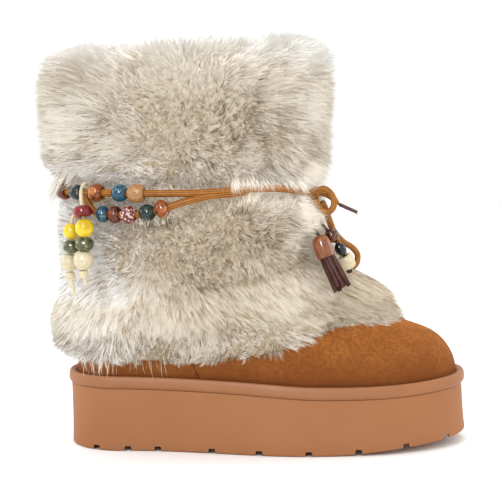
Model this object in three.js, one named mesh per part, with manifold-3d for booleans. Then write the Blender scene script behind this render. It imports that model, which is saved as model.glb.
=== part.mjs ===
import * as THREE from "three";
import { mergeVertices } from "three/addons/utils/BufferGeometryUtils.js";
import Module from "manifold-3d";

// A winter boot for the right foot, standing empty on its sole, in millimetres. +X points to the toe, +Y
// to the inner side of the foot and +Z up. Everything is worked out from the back of the heel, and the
// finished boot is moved so that the origin lies on the floor under the middle of the shaft.

// Sole and welt
const soleLength = 272;
const ballWidth = 101;
const heelWidth = 67;
const heelStack = 42.4;
const toeSpring = 7.5;
const springStart = 0.66;
const springBend = 1.1;
const soleSetBack = 0.5;
const soleEdgeRound = 3;
const soleShoulder = 1.6;
const grooveWidth = 4.6;
const grooveDepth = 3.2;
const grooveTaper = 0.55;
const weltHeight = 8.2;
const weltBulge = 2.1;
const weltSetBack = 0.8;
const toeSwing = 8;

// Upper, insole and fur
const upperHeight = 218;
const wall = 3;
const insoleThickness = 4;
const insoleEdgeRound = 1.2;
const skirtPile = 26;
const cuffPile = 32;
const cordLevel = 173.5;
const rimLevel = 277.5;
const rimDip = 8;
const innerPileDepth = 12;
const innerPile = 7;

// Cords, beads, bow and tassel
const laceDiameter = 4.8;
const bowDiameter = 4.2;
const stringDiameter = 2;
const charmDiameter = 2.3;
const knotSize = 8.4;
const tipDiameter = 1.8;
const capDiameter = 11;
const stripGap = 1.5;
const stripWidth = 3.4;
const stripThickness = 1.3;
const strips = 8;
const stripStand = 3.6;
const stripSplay = 0.04;
const shortStrip = 0.88;
const tasselCore = { top: 3.7, bottom: 2.4, share: 0.8 };

// Running clearances
const gap = 0.3;
const weltGap = 0.4;
const furGap = 1;
const laceGap = 0.6;
const boreGap = 0.5;

const collarLevel = heelStack + upperHeight;

// The top of the sole's side along its length, as shares of the sole's length and of the heel's height.
const soleTopLine = [
  { along: 0, rise: 1 },
  { along: 0.2, rise: 0.985 },
  { along: 0.43, rise: 0.951 },
  { along: 0.62, rise: 0.884 },
  { along: 0.8, rise: 0.893 },
  { along: 1, rise: 0.963 },
];

// The rolled rim's outer face: out as a share of its bulge, rise of its height.
const weltProfile = [
  { out: -0.29, rise: 0 },
  { out: 1, rise: 0.25 },
  { out: 1, rise: 0.62 },
  { out: 0.65, rise: 0.88 },
  { out: 0.1, rise: 1 },
];
const weltInnerRise = 0.9;

// Where the sides widen from heel to ball, as shares of the sole's length.
const outerWidening = { from: 0.15, to: 0.63 };
const innerWidening = { from: 0.32, to: 0.7 };
const swinging = { from: 0.45, to: 1 };

// Grooves across the tread, as shares of the sole's length.
const grooves = [0.0727, 0.151, 0.225, 0.3584, 0.4734, 0.5936, 0.715, 0.8337, 0.9408];

const soleOutline = { back: 0, front: 1, heel: 0.5, ball: 0.505, heelRound: 0.13, toeRound: 0.275 };

// Sections of the upper's outer face. rise is a share of the upper's height, back, front and the two
// roundings are shares of the sole's length, and heel and ball are half widths as shares of heelWidth and
// ballWidth.
const upperSections = [
  { rise: 0, back: 0.0136, front: 0.97, heel: 0.447, ball: 0.46, heelRound: 0.112, toeRound: 0.25 },
  { rise: 0.032, back: 0.0129, front: 0.9805, heel: 0.455, ball: 0.468, heelRound: 0.112, toeRound: 0.255 },
  { rise: 0.069, back: 0.0162, front: 0.9754, heel: 0.455, ball: 0.465, heelRound: 0.112, toeRound: 0.262 },
  { rise: 0.1, back: 0.0206, front: 0.9632, heel: 0.455, ball: 0.452, heelRound: 0.116, toeRound: 0.277 },
  { rise: 0.128, back: 0.0243, front: 0.9441, heel: 0.455, ball: 0.43, heelRound: 0.12, toeRound: 0.307 },
  { rise: 0.151, back: 0.0283, front: 0.9195, heel: 0.462, ball: 0.408, heelRound: 0.124, toeRound: 0.337 },
  { rise: 0.169, back: 0.0301, front: 0.8846, heel: 0.47, ball: 0.39, heelRound: 0.127, toeRound: 0.36 },
  { rise: 0.187, back: 0.032, front: 0.8437, heel: 0.477, ball: 0.38, heelRound: 0.131, toeRound: 0.375 },
  { rise: 0.21, back: 0.0342, front: 0.797, heel: 0.485, ball: 0.375, heelRound: 0.135, toeRound: 0.375 },
  { rise: 0.242, back: 0.0364, front: 0.7434, heel: 0.5, ball: 0.375, heelRound: 0.142, toeRound: 0.367 },
  { rise: 0.288, back: 0.0368, front: 0.686, heel: 0.515, ball: 0.38, heelRound: 0.157, toeRound: 0.352 },
  { rise: 0.342, back: 0.0375, front: 0.6342, heel: 0.545, ball: 0.4, heelRound: 0.187, toeRound: 0.337 },
  { rise: 0.406, back: 0.0382, front: 0.597, heel: 0.59, ball: 0.42, heelRound: 0.225, toeRound: 0.322 },
  { rise: 0.489, back: 0.0368, front: 0.5732, heel: 0.636, ball: 0.44, heelRound: 0.262, toeRound: 0.285 },
  { rise: 0.594, back: 0.0364, front: 0.5673, heel: 0.68, ball: 0.46, heelRound: 0.27, toeRound: 0.272 },
  { rise: 0.726, back: 0.0305, front: 0.5596, heel: 0.7, ball: 0.47, heelRound: 0.27, toeRound: 0.273 },
  { rise: 0.863, back: 0.029, front: 0.5551, heel: 0.712, ball: 0.475, heelRound: 0.27, toeRound: 0.273 },
  { rise: 1, back: 0.0294, front: 0.5551, heel: 0.727, ball: 0.48, heelRound: 0.27, toeRound: 0.273 },
];

// Levels of the upper's inner face, as rows of the table above.
const innerFaceRows = [0, 1, 2, 4, 5, 7, 9, 10, 12, 14, 15, 17];
// How far up the sole's curved top line is still felt in the sections, as a share of the upper's height.
const topLineFade = 0.16;

// The fur's lower edge: around is the cosine of the angle round the boot (1 front, -1 back), level a share
// of the heel's height.
const hemLine = [
  { around: -1, level: 1.434 },
  { around: -0.5, level: 1.44 },
  { around: -0.15, level: 1.52 },
  { around: 0.05, level: 1.616 },
  { around: 0.23, level: 1.76 },
  { around: 0.45, level: 1.9 },
  { around: 0.62, level: 1.99 },
  { around: 0.8, level: 2 },
  { around: 0.92, level: 1.98 },
  { around: 1, level: 1.99 },
];

// The fur below the cord. up is a share of the way from the hem to the cord; back, side and front are how
// far the fur stands off the upper, and nest is how much less where the beads lie in it, all as shares of
// skirtPile.
const skirtFur = [
  { up: 0.005, back: 0.31, side: 0.4, front: 0.12, nest: 0 },
  { up: 0.06, back: 0.64, side: 0.7, front: 0.57, nest: 0 },
  { up: 0.14, back: 0.885, side: 0.85, front: 0.95, nest: 0 },
  { up: 0.22, back: 0.985, side: 0.94, front: 1.25, nest: 0 },
  { up: 0.32, back: 0.96, side: 0.92, front: 1.25, nest: 0 },
  { up: 0.42, back: 0.79, side: 0.82, front: 0.87, nest: 0 },
  { up: 0.58, back: 0.77, side: 0.79, front: 0.885, nest: 0 },
  { up: 0.75, back: 0.8, side: 0.8, front: 0.91, nest: 0 },
  { up: 0.86, back: 0.77, side: 0.78, front: 0.85, nest: 0.21 },
  { up: 0.92, back: 0.745, side: 0.75, front: 0.79, nest: 0.2 },
  { up: 0.965, back: 0.6, side: 0.6, front: 0.5, nest: 0.15 },
];

// The fur from the cord to the rim, and over it to the inside, in the same way, as shares of cuffPile.
// Negative values lie inside the collar.
const cuffFur = [
  { up: 0, back: 0.478, side: 0.478, front: 0.39, nest: 0.12 },
  { up: 0.045, back: 0.488, side: 0.488, front: 0.4, nest: 0.12 },
  { up: 0.1, back: 0.64, side: 0.64, front: 0.64, nest: 0.12 },
  { up: 0.16, back: 0.78, side: 0.78, front: 0.75, nest: 0.04 },
  { up: 0.23, back: 0.92, side: 0.875, front: 0.86, nest: 0 },
  { up: 0.35, back: 0.955, side: 0.905, front: 0.89, nest: 0 },
  { up: 0.5, back: 0.985, side: 0.92, front: 0.94, nest: 0 },
  { up: 0.68, back: 1, side: 0.94, front: 0.97, nest: 0 },
  { up: 0.8, back: 0.92, side: 0.875, front: 0.95, nest: 0 },
  { up: 0.89, back: 0.72, side: 0.69, front: 0.86, nest: 0 },
  { up: 0.96, back: 0.41, side: 0.41, front: 0.58, nest: 0 },
  { up: 1, back: 0.06, side: 0.06, front: 0.12, nest: 0 },
  { up: 0.975, back: -0.19, side: -0.19, front: -0.19, nest: 0 },
  { up: 0.91, back: -0.3, side: -0.3, front: -0.3, nest: 0 },
];

// Locks of hair on the fur's edges. up is how far the root lies above the edge and tipUp how far the tip's
// own level does, drop how far the tip then falls, and root and tip how far they stand off the upper, as
// shares of the pile. Over the foot the upper lies nearly flat, so a lock there drops only a little.
const locks = {
  hem: { up: 7, root: 0.55, tipUp: 0, drop: 5, tip: 0.42, width: 13 },
  hemOverFoot: { up: 3.5, root: 0.43, tipUp: 0, drop: -1.6, tip: 0.52, width: 8 },
  cuff: { up: 6, root: 0.62, tipUp: 0, drop: 10, tip: 0.86, width: 13 },
  rim: { up: -9, root: 0.32, tipUp: -5, drop: -5, tip: 0.62, width: 11 },
};
const hemLocks = 22;
const cuffLocks = 16;
const rimLocks = 16;
const cuffEdge = 0.25;

// The beads lie in the fur on the outer side, towards the back. around is the cosine of the angle.
const beadNest = { from: -1.02, fullFrom: -0.9, fullTo: -0.05, to: 0.12 };

// The lower strand leaves the upper one at the back of the beads and comes back to it further forward.
// around is the cosine of the angle, drop how far below the cord's level, stand how far off the upper, as
// a share of skirtPile.
const lowerStrand = [
  { around: -0.765, drop: 1, stand: 0.71 },
  { around: -0.725, drop: 8, stand: 0.77 },
  { around: -0.66, drop: 12.8, stand: 0.81 },
  { around: -0.56, drop: 13.6, stand: 0.82 },
  { around: -0.45, drop: 13.6, stand: 0.82 },
  { around: -0.34, drop: 13, stand: 0.82 },
  { around: -0.24, drop: 11.2, stand: 0.81 },
  { around: -0.13, drop: 8.6, stand: 0.785 },
  { around: 0.0, drop: 5, stand: 0.75 },
  { around: 0.17, drop: 1.6, stand: 0.7 },
  { around: 0.31, drop: 0.4, stand: 0.68 },
];

// The upper strand starts and ends at the bow's knot. around is in turns, backwards from the toe past the
// outer side.
const laceStart = 0.083;
const laceEnd = 1.053;
const laceRise = { level: 3, around: 0.15, width: 0.06 };

// Beads from the heel forwards. at is the place on the strand, as the cosine of the angle.
const wrapBeads = [
  { name: "wrap_bead_01", strand: "upper", at: -0.885, length: 8.6, diameter: 11, colour: "amber" },
  { name: "wrap_bead_02", strand: "upper", at: -0.775, length: 9.4, diameter: 10.2, colour: "pine" },
  { name: "wrap_bead_03", strand: "upper", at: -0.615, length: 9.6, diameter: 12.2, colour: "caramel" },
  { name: "wrap_bead_04", strand: "upper", at: -0.44, length: 9.6, diameter: 11.4, colour: "teal" },
  { name: "wrap_bead_05", strand: "upper", at: -0.318, length: 10.4, diameter: 12, colour: "ash" },
  { name: "wrap_bead_06", strand: "lower", at: -0.564, length: 7.8, diameter: 10.8, colour: "teal" },
  { name: "wrap_bead_07", strand: "lower", at: -0.476, length: 7.2, diameter: 11.4, colour: "amber" },
  { name: "wrap_bead_08", strand: "lower", at: -0.374, length: 10.2, diameter: 12, colour: "russet" },
  { name: "wrap_bead_09", strand: "lower", at: -0.24, length: 9.4, diameter: 10.8, colour: "pine" },
  { name: "wrap_bead_10", strand: "lower", at: -0.135, length: 8.2, diameter: 12, colour: "caramel" },
];

// Free cords: points chosen by hand from the heel, as X, Y and Z.
const knotPlace = [165.8, -28.3, 171.6];
const bowLoopNear = [
  [168.3, -31.4, 174.5], [171, -32.6, 175.6], [174.2, -33.4, 174.2], [177, -34, 170.9],
  [178.1, -34.6, 166.6], [176.9, -35, 162.4], [173.6, -35.4, 160.2], [169.9, -35.6, 161.4],
  [167.2, -35.4, 164.8], [165.9, -34.4, 168.6],
];
const laceStub = [
  [166, -25.6, 172], [171, -24.2, 172.2], [175.6, -24.6, 170.6], [179.2, -26.4, 167.8], [181.6, -28, 165.4],
];
const laceTip = [
  [182.3, -28.4, 164.9], [187, -29.4, 162.8], [194.3, -30.6, 159.6],
];
const bowLoopFar = [
  [170.4, -24.2, 167.2], [173, -22.8, 162.4], [175, -22.2, 156],
  [177.4, -21.2, 149.6], [181.6, -17.8, 143.4],
  [187.1, -12.4, 138.2], [192.2, -8.4, 135], [196.2, -6, 130], [196, -6.4, 124.6], [193.4, -10, 122],
  [190, -14.4, 125.6], [186.2, -18.6, 131.4], [182.4, -22.6, 138.2],
  [178.6, -26, 146.4], [175.4, -27.8, 155],
  [172.8, -29, 161.6], [170.4, -29.4, 165.8],
];
const beadString = [
  [166.6, -29.4, 166.6], [167.2, -31, 161.6], [168.6, -32.6, 155.8],
  [171.2, -33.6, 151.1], [174.2, -33.9, 147.9],
  [176.6, -33.4, 145.2], [179.6, -32, 140.6], [182.6, -30.4, 135.8],
  [185.2, -28.6, 131.4], [187.2, -26.8, 127.4],
  [188.9, -25.4, 122.6], [189.4, -25.2, 118.8],
];
const dropBeads = [
  { name: "drop_bead_1", at: 0.458, length: 8.6, diameter: 9.8, colour: "tiger" },
  { name: "drop_bead_2", at: 0.662, length: 8.6, diameter: 7.6, colour: "pine" },
  { name: "drop_bead_3", at: 0.845, length: 9.2, diameter: 10.6, colour: "cream" },
];
const tasselCord = [
  [163, -32.5, 167.3], [162.5, -35.8, 163.3], [162.8, -38.8, 157.4],
  [164, -40.8, 151.6], [166.4, -41.2, 147.4],
  [167.4, -41.3, 145.6],
];
// The cap's half section: width as a share of its diameter, place down its length.
const capProfile = [[0.62, 0], [0.9, 0.12], [1, 0.5], [0.96, 1]];
const tasselAxis = [
  [167.7, -41.4, 145.2], [172.8, -43.4, 131.2], [183.2, -50, 111.4],
];
const charmFront = [
  [20.6, -41.4, 168.2], [20, -40.9, 172.6], [18.6, -41.4, 177.8],
  [16.2, -44.6, 179.2], [14.4, -48.6, 176.2],
  [14.8, -54.6, 170.4], [16.2, -58, 162.6], [17.4, -59.4, 152.6], [17.4, -59, 142.6], [16.4, -58, 132.4],
  [16, -57, 124.4], [16.6, -56.2, 119], [17.6, -55.6, 113.6],
];
const charmRear = [
  [20.6, -41.4, 167.4], [19.9, -42.2, 164.6], [17, -42.8, 162.8], [13.2, -43, 162], [10.2, -44.2, 160.6],
  [8.3, -46, 157.8], [7.5, -47.1, 154.2], [7.3, -47.2, 149], [7, -46.6, 139],
  [5.6, -45.4, 128.4], [5.8, -44.8, 120.4], [7, -45.2, 114], [8.2, -45.8, 107],
];
const charmBeads = [
  { name: "charm_bead_1", cord: "front", level: 161.7, length: 7.2, diameter: 13, colour: "red" },
  { name: "charm_bead_2", cord: "front", level: 151.5, length: 11, diameter: 11.8, colour: "yellow" },
  { name: "charm_bead_3", cord: "front", level: 141.3, length: 7.8, diameter: 12.6, colour: "olive" },
  { name: "charm_bead_4", cord: "front", level: 131, length: 11.6, diameter: 12.6, colour: "cream" },
  { name: "charm_bead_5", cord: "rear", level: 148.6, length: 9.8, diameter: 11, colour: "yellow" },
  { name: "charm_bead_6", cord: "rear", level: 138.6, length: 7.8, diameter: 10.8, colour: "olive" },
  { name: "charm_bead_7", cord: "rear", level: 128, length: 10.8, diameter: 11.2, colour: "cream" },
  { name: "charm_knot_front", cord: "front", level: 121.8, length: 4.8, diameter: 7, colour: "twine" },
  { name: "charm_knot_rear", cord: "rear", level: 119.2, length: 5.4, diameter: 7, colour: "twine" },
];

const shaft = upperSections[upperSections.length - 1];
const stations = 30;
const soleStations = 52;

const wasm = await Module();
wasm.setup();

const materials = {
  rubber: new THREE.MeshStandardMaterial({ color: 0xb87e56, roughness: 0.75, metalness: 0 }),
  suede: new THREE.MeshStandardMaterial({ color: 0xa86a36, roughness: 0.95, metalness: 0 }),
  fleece: new THREE.MeshStandardMaterial({ color: 0xe2d6c0, roughness: 1, metalness: 0 }),
  fur: new THREE.MeshStandardMaterial({ color: 0xcbbda4, roughness: 1, metalness: 0 }),
  lace: new THREE.MeshStandardMaterial({ color: 0xb97a3c, roughness: 0.7, metalness: 0 }),
  leather: new THREE.MeshStandardMaterial({ color: 0x8f542e, roughness: 0.5, metalness: 0 }),
  darkLeather: new THREE.MeshStandardMaterial({ color: 0x3d2418, roughness: 0.6, metalness: 0 }),
  twine: new THREE.MeshStandardMaterial({ color: 0xe3d3b4, roughness: 0.9, metalness: 0 }),
  amber: new THREE.MeshStandardMaterial({ color: 0x7a3a16, roughness: 0.2, metalness: 0 }),
  pine: new THREE.MeshStandardMaterial({ color: 0x173a35, roughness: 0.15, metalness: 0 }),
  caramel: new THREE.MeshStandardMaterial({ color: 0xa9642a, roughness: 0.35, metalness: 0 }),
  teal: new THREE.MeshStandardMaterial({ color: 0x3c7f8a, roughness: 0.3, metalness: 0 }),
  ash: new THREE.MeshStandardMaterial({ color: 0xc9a06a, roughness: 0.6, metalness: 0 }),
  russet: new THREE.MeshStandardMaterial({ color: 0x6e2a20, roughness: 0.35, metalness: 0 }),
  tiger: new THREE.MeshStandardMaterial({ color: 0x5e3518, roughness: 0.25, metalness: 0 }),
  cream: new THREE.MeshStandardMaterial({ color: 0xdcc79c, roughness: 0.6, metalness: 0 }),
  red: new THREE.MeshStandardMaterial({ color: 0xa32318, roughness: 0.35, metalness: 0 }),
  yellow: new THREE.MeshStandardMaterial({ color: 0xd59a1c, roughness: 0.35, metalness: 0 }),
  olive: new THREE.MeshStandardMaterial({ color: 0x6d7426, roughness: 0.3, metalness: 0 }),
};

function mix(a, b, share) {
  return a + (b - a) * share;
}

function smoothBetween(value, range) {
  const share = Math.min(1, Math.max(0, (value - range.from) / (range.to - range.from)));
  return share * share * (3 - 2 * share);
}

// A column of a table at a place between two rows, along a straight line or a smooth curve.
function readTable(rows, key, at, column, smooth) {
  const last = rows.length - 1;
  if (at <= rows[0][key]) return rows[0][column];
  if (at >= rows[last][key]) return rows[last][column];
  const next = rows.findIndex((row) => row[key] > at);
  const [a, b] = [rows[next - 1], rows[next]];
  const share = (at - a[key]) / (b[key] - a[key]);
  if (!smooth) return mix(a[column], b[column], share);
  const slope = (i) => {
    const before = rows[Math.max(0, i - 1)];
    const after = rows[Math.min(last, i + 1)];
    return (after[column] - before[column]) / (after[key] - before[key]);
  };
  const width = b[key] - a[key];
  const turn = share * share * (3 - 2 * share);
  const leave = share * (1 - share) * (1 - share);
  const arrive = share * share * (share - 1);
  return mix(a[column], b[column], turn) + width * (leave * slope(next - 1) + arrive * slope(next));
}

function soleTop(x) {
  return heelStack * readTable(soleTopLine, "along", x / soleLength, "rise", true);
}

function soleBottom(x) {
  const share = Math.max(0, (x / soleLength - springStart) / (1 - springStart));
  return toeSpring * share ** springBend;
}

// How full an outline is near its end: a quarter of an ellipse.
function roundEnd(share) {
  const short = 1 - Math.min(1, Math.max(0, share));
  return Math.sqrt(Math.max(0, 1 - short * short));
}

// A point of a foot-shaped outline seen from above. angle 0 is the toe, a quarter turn the inner side.
function outlinePoint(section, angle) {
  const back = section.back * soleLength;
  const front = section.front * soleLength;
  const x = (front + back) / 2 + ((front - back) / 2) * Math.cos(angle);
  const inner = Math.sin(angle) >= 0;
  const along = x / soleLength;
  const widening = smoothBetween(along, inner ? innerWidening : outerWidening);
  const half = mix(section.heel * heelWidth, section.ball * ballWidth, widening);
  const heelEnd = roundEnd((x - back) / (section.heelRound * soleLength));
  const toeEnd = roundEnd((front - x) / (section.toeRound * soleLength));
  const swing = toeSwing * smoothBetween(along, swinging);
  return new THREE.Vector3(x, swing + (inner ? 1 : -1) * half * heelEnd * toeEnd, 0);
}

function angleOf(index, count) {
  return (2 * Math.PI * index) / count;
}

// The direction straight out of an outline, level.
function outOf(pointAt, angle) {
  const step = 0.02;
  const along = pointAt(angle + step).sub(pointAt(angle - step));
  return new THREE.Vector3(along.y, -along.x, 0).normalize();
}

function soleEdge(angle, out, setBack, height) {
  const pointAt = (a) => outlinePoint(soleOutline, a);
  const point = pointAt(angle).addScaledVector(outOf(pointAt, angle), out);
  point.z = height(point.x);
  point.x -= setBack;
  return point;
}

function upperRow(index, angle) {
  const section = upperSections[index];
  const point = outlinePoint(section, angle);
  const felt = 1 - smoothBetween(section.rise, { from: 0, to: topLineFade });
  point.z = heelStack + gap + section.rise * upperHeight + (soleTop(point.x) - heelStack) * felt;
  if (index === upperSections.length - 1) point.z = collarLevel;
  return point;
}

// A point of the upper's outer face, on straight lines between the sections. Above the collar it runs
// straight up.
function upperPoint(level, angle) {
  const rise = (level - heelStack) / upperHeight;
  const last = upperSections.length - 1;
  if (rise >= 1) {
    const point = upperRow(last, angle);
    point.z = level;
    return point;
  }
  const next = Math.max(1, upperSections.findIndex((row) => row.rise > rise));
  const below = upperSections[next - 1].rise;
  const share = Math.max(0, (rise - below) / (upperSections[next].rise - below));
  return upperRow(next - 1, angle).lerp(upperRow(next, angle), share);
}

function upperOut(level, angle) {
  return outOf((a) => upperPoint(level, a), angle);
}

// The direction square to the upper's face.
function upperNormal(level, angle) {
  const step = 0.02;
  const reach = 2;
  const around = upperPoint(level, angle + step).sub(upperPoint(level, angle - step));
  const up = upperPoint(level + reach, angle).sub(upperPoint(Math.max(heelStack, level - reach), angle));
  return around.cross(up).normalize();
}

function upperOffset(level, angle, out, square) {
  const direction = square ? upperNormal(level, angle) : upperOut(level, angle);
  return upperPoint(level, angle).addScaledVector(direction, out);
}

function ring(count, pointAt) {
  return Array.from({ length: count }, (_, i) => pointAt(angleOf(i, count)));
}

function geometryOf(points, triangles) {
  const made = new THREE.BufferGeometry();
  const positions = new Float32Array(points.flatMap((p) => [p.x, p.y, p.z]));
  made.setAttribute("position", new THREE.BufferAttribute(positions, 3));
  made.setIndex(triangles);
  return made;
}

// Rings joined in order into one skin. closed joins the last to the first, otherwise flat strips close
// both ends. Each four-sided patch is split along its shorter diagonal, so that two neighbouring skins are
// split alike.
function loft(rings, closed) {
  const count = rings[0].length;
  const points = rings.flat();
  const triangles = [];
  const spans = closed ? rings.length : rings.length - 1;
  for (let r = 0; r < spans; r++) {
    const here = r * count;
    const above = ((r + 1) % rings.length) * count;
    for (let i = 0; i < count; i++) {
      const j = (i + 1) % count;
      const [a, b, c, d] = [here + i, here + j, above + j, above + i];
      const straight = points[a].distanceTo(points[c]) <= points[b].distanceTo(points[d]);
      if (straight) triangles.push(a, b, c, a, c, d);
      else triangles.push(a, b, d, b, c, d);
    }
  }
  if (!closed) {
    const top = (rings.length - 1) * count;
    for (let i = 0; i < count / 2; i++) {
      const pair = [(count - i) % count, i, i + 1, count - i - 1];
      const faces = i === 0 ? [[0, 2, 3]] : i === count / 2 - 1 ? [[0, 1, 2]] : [[0, 1, 2], [0, 2, 3]];
      for (const [a, b, c] of faces) {
        triangles.push(top + pair[a], top + pair[b], top + pair[c]);
        triangles.push(pair[a], pair[c], pair[b]);
      }
    }
  }
  return geometryOf(points, triangles);
}

function solidOf(geometry) {
  const plain = geometry.clone();
  plain.deleteAttribute("normal");
  plain.deleteAttribute("uv");
  const merged = mergeVertices(plain, 1e-4);
  const vertProperties = merged.attributes.position.array;
  const triVerts = new Uint32Array(merged.index.array);
  return new wasm.Manifold(new wasm.Mesh({ numProp: 3, vertProperties, triVerts }));
}

function geometryFrom(solid) {
  const { numProp, vertProperties, triVerts } = solid.getMesh();
  const made = new THREE.BufferGeometry();
  made.setAttribute("position", new THREE.BufferAttribute(new Float32Array(vertProperties), numProp));
  made.setIndex(Array.from(triVerts));
  return made;
}

const boot = new THREE.Group();
const fromHeel = new THREE.Group();
boot.add(fromHeel);

function addPiece(name, geometry, material) {
  const mesh = new THREE.Mesh(geometry, material);
  mesh.name = name;
  fromHeel.add(mesh);
  return mesh;
}

// Platform sole: rounded lower edge, sides that lean a little towards the heel, a shoulder under the welt.
function makeSole() {
  const level = (share) => (x) => mix(soleBottom(x), soleTop(x), share);
  const above = (rise) => (x) => soleBottom(x) + rise;
  const below = (drop) => (x) => soleTop(x) - drop;
  const rings = [
    ring(soleStations, (a) => soleEdge(a, -soleEdgeRound, 0, above(0))),
    ring(soleStations, (a) => soleEdge(a, -soleEdgeRound * 0.3, 0, above(soleEdgeRound * 0.3))),
    ring(soleStations, (a) => soleEdge(a, 0, 0, above(soleEdgeRound))),
    ring(soleStations, (a) => soleEdge(a, -0.3, soleSetBack / 2, level(0.55))),
    ring(soleStations, (a) => soleEdge(a, 0, soleSetBack, below(soleShoulder))),
    ring(soleStations, (a) => soleEdge(a, -soleShoulder, soleSetBack, below(0))),
  ];
  let body = solidOf(loft(rings, false));
  for (const along of grooves) body = body.subtract(solidOf(grooveCutter(along * soleLength)));
  addPiece("sole", geometryFrom(body), materials.rubber);
}

// A bar with a narrower top, right across the tread.
function grooveCutter(x) {
  const half = grooveWidth / 2;
  const top = soleBottom(x) + grooveDepth;
  const outline = new THREE.Shape([
    new THREE.Vector2(-half, -grooveDepth),
    new THREE.Vector2(half, -grooveDepth),
    new THREE.Vector2(half, top * 0.5),
    new THREE.Vector2(half * grooveTaper, top),
    new THREE.Vector2(-half * grooveTaper, top),
    new THREE.Vector2(-half, top * 0.5),
  ]);
  const bar = new THREE.ExtrudeGeometry(outline, { depth: 2 * ballWidth, bevelEnabled: false });
  bar.rotateX(Math.PI / 2);
  bar.translate(x, ballWidth, 0);
  return bar;
}

// Rolled rim round the foot of the upper: its inner face follows the upper, its outer face the sole's edge.
function makeWelt() {
  const outer = (row) => (a) =>
    soleEdge(a, row.out * weltBulge, weltSetBack, (x) => soleTop(x) + gap + row.rise * weltHeight);
  const inner = (rise) => (a) => upperOffset(heelStack + rise, a, weltGap, false);
  const rings = [
    ring(stations, inner(0)),
    ...weltProfile.map((row) => ring(stations, outer(row))),
    ring(stations, inner(weltHeight * weltInnerRise)),
  ];
  addPiece("welt", loft(rings, true), materials.rubber);
}

function makeUpper() {
  const rows = upperSections.map((_, index) => index);
  const levelOf = (index) => heelStack + upperSections[index].rise * upperHeight;
  const outerFace = rows.map((index) => ring(stations, (a) => upperRow(index, a)));
  const innerFace = innerFaceRows.map((index) =>
    ring(stations, (a) => {
      const atEnd = index === 0 || index === rows.length - 1;
      const point = upperOffset(levelOf(index), a, -wall, !atEnd);
      if (atEnd) point.z = index === 0 ? soleTop(point.x) + gap : collarLevel;
      return point;
    }),
  );
  addPiece("upper", loft([...outerFace, ...innerFace.reverse()], true), materials.suede);
}

function makeInsole() {
  const plate = (inset, rise) => (a) => {
    const point = upperOffset(heelStack, a, -wall - gap - inset, false);
    point.z = soleTop(point.x) + gap + rise;
    return point;
  };
  const rings = [
    ring(stations, plate(gap, 0)),
    ring(stations, plate(gap, insoleThickness - insoleEdgeRound)),
    ring(stations, plate(insoleEdgeRound, insoleThickness)),
  ];
  addPiece("insole", loft(rings, false), materials.fleece);
}

function hemLevel(angle) {
  return heelStack * readTable(hemLine, "around", Math.cos(angle), "level", true);
}

function rimLevelAt(angle) {
  return rimLevel - (rimDip * (1 - Math.cos(angle))) / 2;
}

// 1 where the beads lie, 0 elsewhere.
function nestShare(angle) {
  if (Math.sin(angle) >= 0) return 0;
  const around = Math.cos(angle);
  const arriving = smoothBetween(around, { from: beadNest.from, to: beadNest.fullFrom });
  const leaving = smoothBetween(around, { from: beadNest.fullTo, to: beadNest.to });
  return arriving * (1 - leaving);
}

function pileOf(row, angle, fullPile) {
  const along = Math.cos(angle);
  const front = along > 0 ? along ** 4 : 0;
  const back = along < 0 ? along * along : 0;
  const side = 1 - front - back;
  const stand = row.front * front + row.back * back + row.side * side;
  return fullPile * (stand - row.nest * nestShare(angle));
}

// Rows of the fur's outer face from the hem to the rim and over it: level and how far it stands off the
// upper.
function furRow(index, angle) {
  const inSkirt = index < skirtFur.length;
  const row = inSkirt ? skirtFur[index] : cuffFur[index - skirtFur.length];
  const from = inSkirt ? hemLevel(angle) : cordLevel;
  const to = inSkirt ? cordLevel : rimLevelAt(angle);
  const level = mix(from, to, row.up);
  return { level, pile: pileOf(row, angle, inSkirt ? skirtPile : cuffPile) };
}

function furPoint(index, angle) {
  const { level, pile } = furRow(index, angle);
  const point = upperOffset(level, angle, pile, false);
  point.z = level;
  return point;
}

const furRows = skirtFur.length + cuffFur.length;
const innerRowsToInstep = 4;
const instepRow = 9;

function makeFurBody() {
  const rings = [];
  for (let index = 0; index < furRows; index++) rings.push(ring(stations, (a) => furPoint(index, a)));
  const insideLevel = collarLevel - innerPileDepth;
  const insidePile = -wall - innerPile;
  rings.push(ring(stations, (a) => upperOffset(insideLevel, a, insidePile, false)));
  rings.push(ring(stations, (a) => upperOffset(insideLevel, a, -wall - furGap, false)));
  for (const out of [-wall - furGap, furGap]) {
    rings.push(ring(stations, (a) => upperOffset(collarLevel + furGap, a, out, false)));
  }
  const levelOf = (index) => heelStack + upperSections[index].rise * upperHeight;
  for (let index = upperSections.length - 2; index > instepRow; index--) {
    rings.push(ring(stations, (a) => upperOffset(levelOf(index), a, furGap, true)));
  }
  for (let step = innerRowsToInstep; step >= 0; step--) {
    const share = step / innerRowsToInstep;
    const level = (a) => mix(hemLevel(a), levelOf(instepRow), share);
    rings.push(ring(stations, (a) => upperOffset(level(a), a, furGap, true)));
  }
  return loft(rings, true);
}

// A lock of hair: a three-sided spike from its root inside the fur to its tip.
function lockSpike(root, tip, width) {
  const spike = new THREE.ConeGeometry(width / 2, root.distanceTo(tip), 3, 1);
  const along = tip.clone().sub(root).normalize();
  spike.applyQuaternion(new THREE.Quaternion().setFromUnitVectors(new THREE.Vector3(0, 1, 0), along));
  const middle = root.clone().add(tip).multiplyScalar(0.5);
  spike.translate(middle.x, middle.y, middle.z);
  return solidOf(spike);
}

// Every other lock is longer, so that an edge of locks is uneven.
function lockReach(index, reach) {
  return reach * (index % 2 ? 0.7 : 1) * (index % 3 ? 1 : 0.85);
}

function lockAt(row, index, level, angle, pile) {
  const root = upperOffset(level + row.up, angle, pile * row.root, false);
  const tipLevel = level + row.tipUp - lockReach(index, row.drop);
  return lockSpike(root, upperOffset(tipLevel, angle, pile * row.tip, false), row.width);
}

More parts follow.
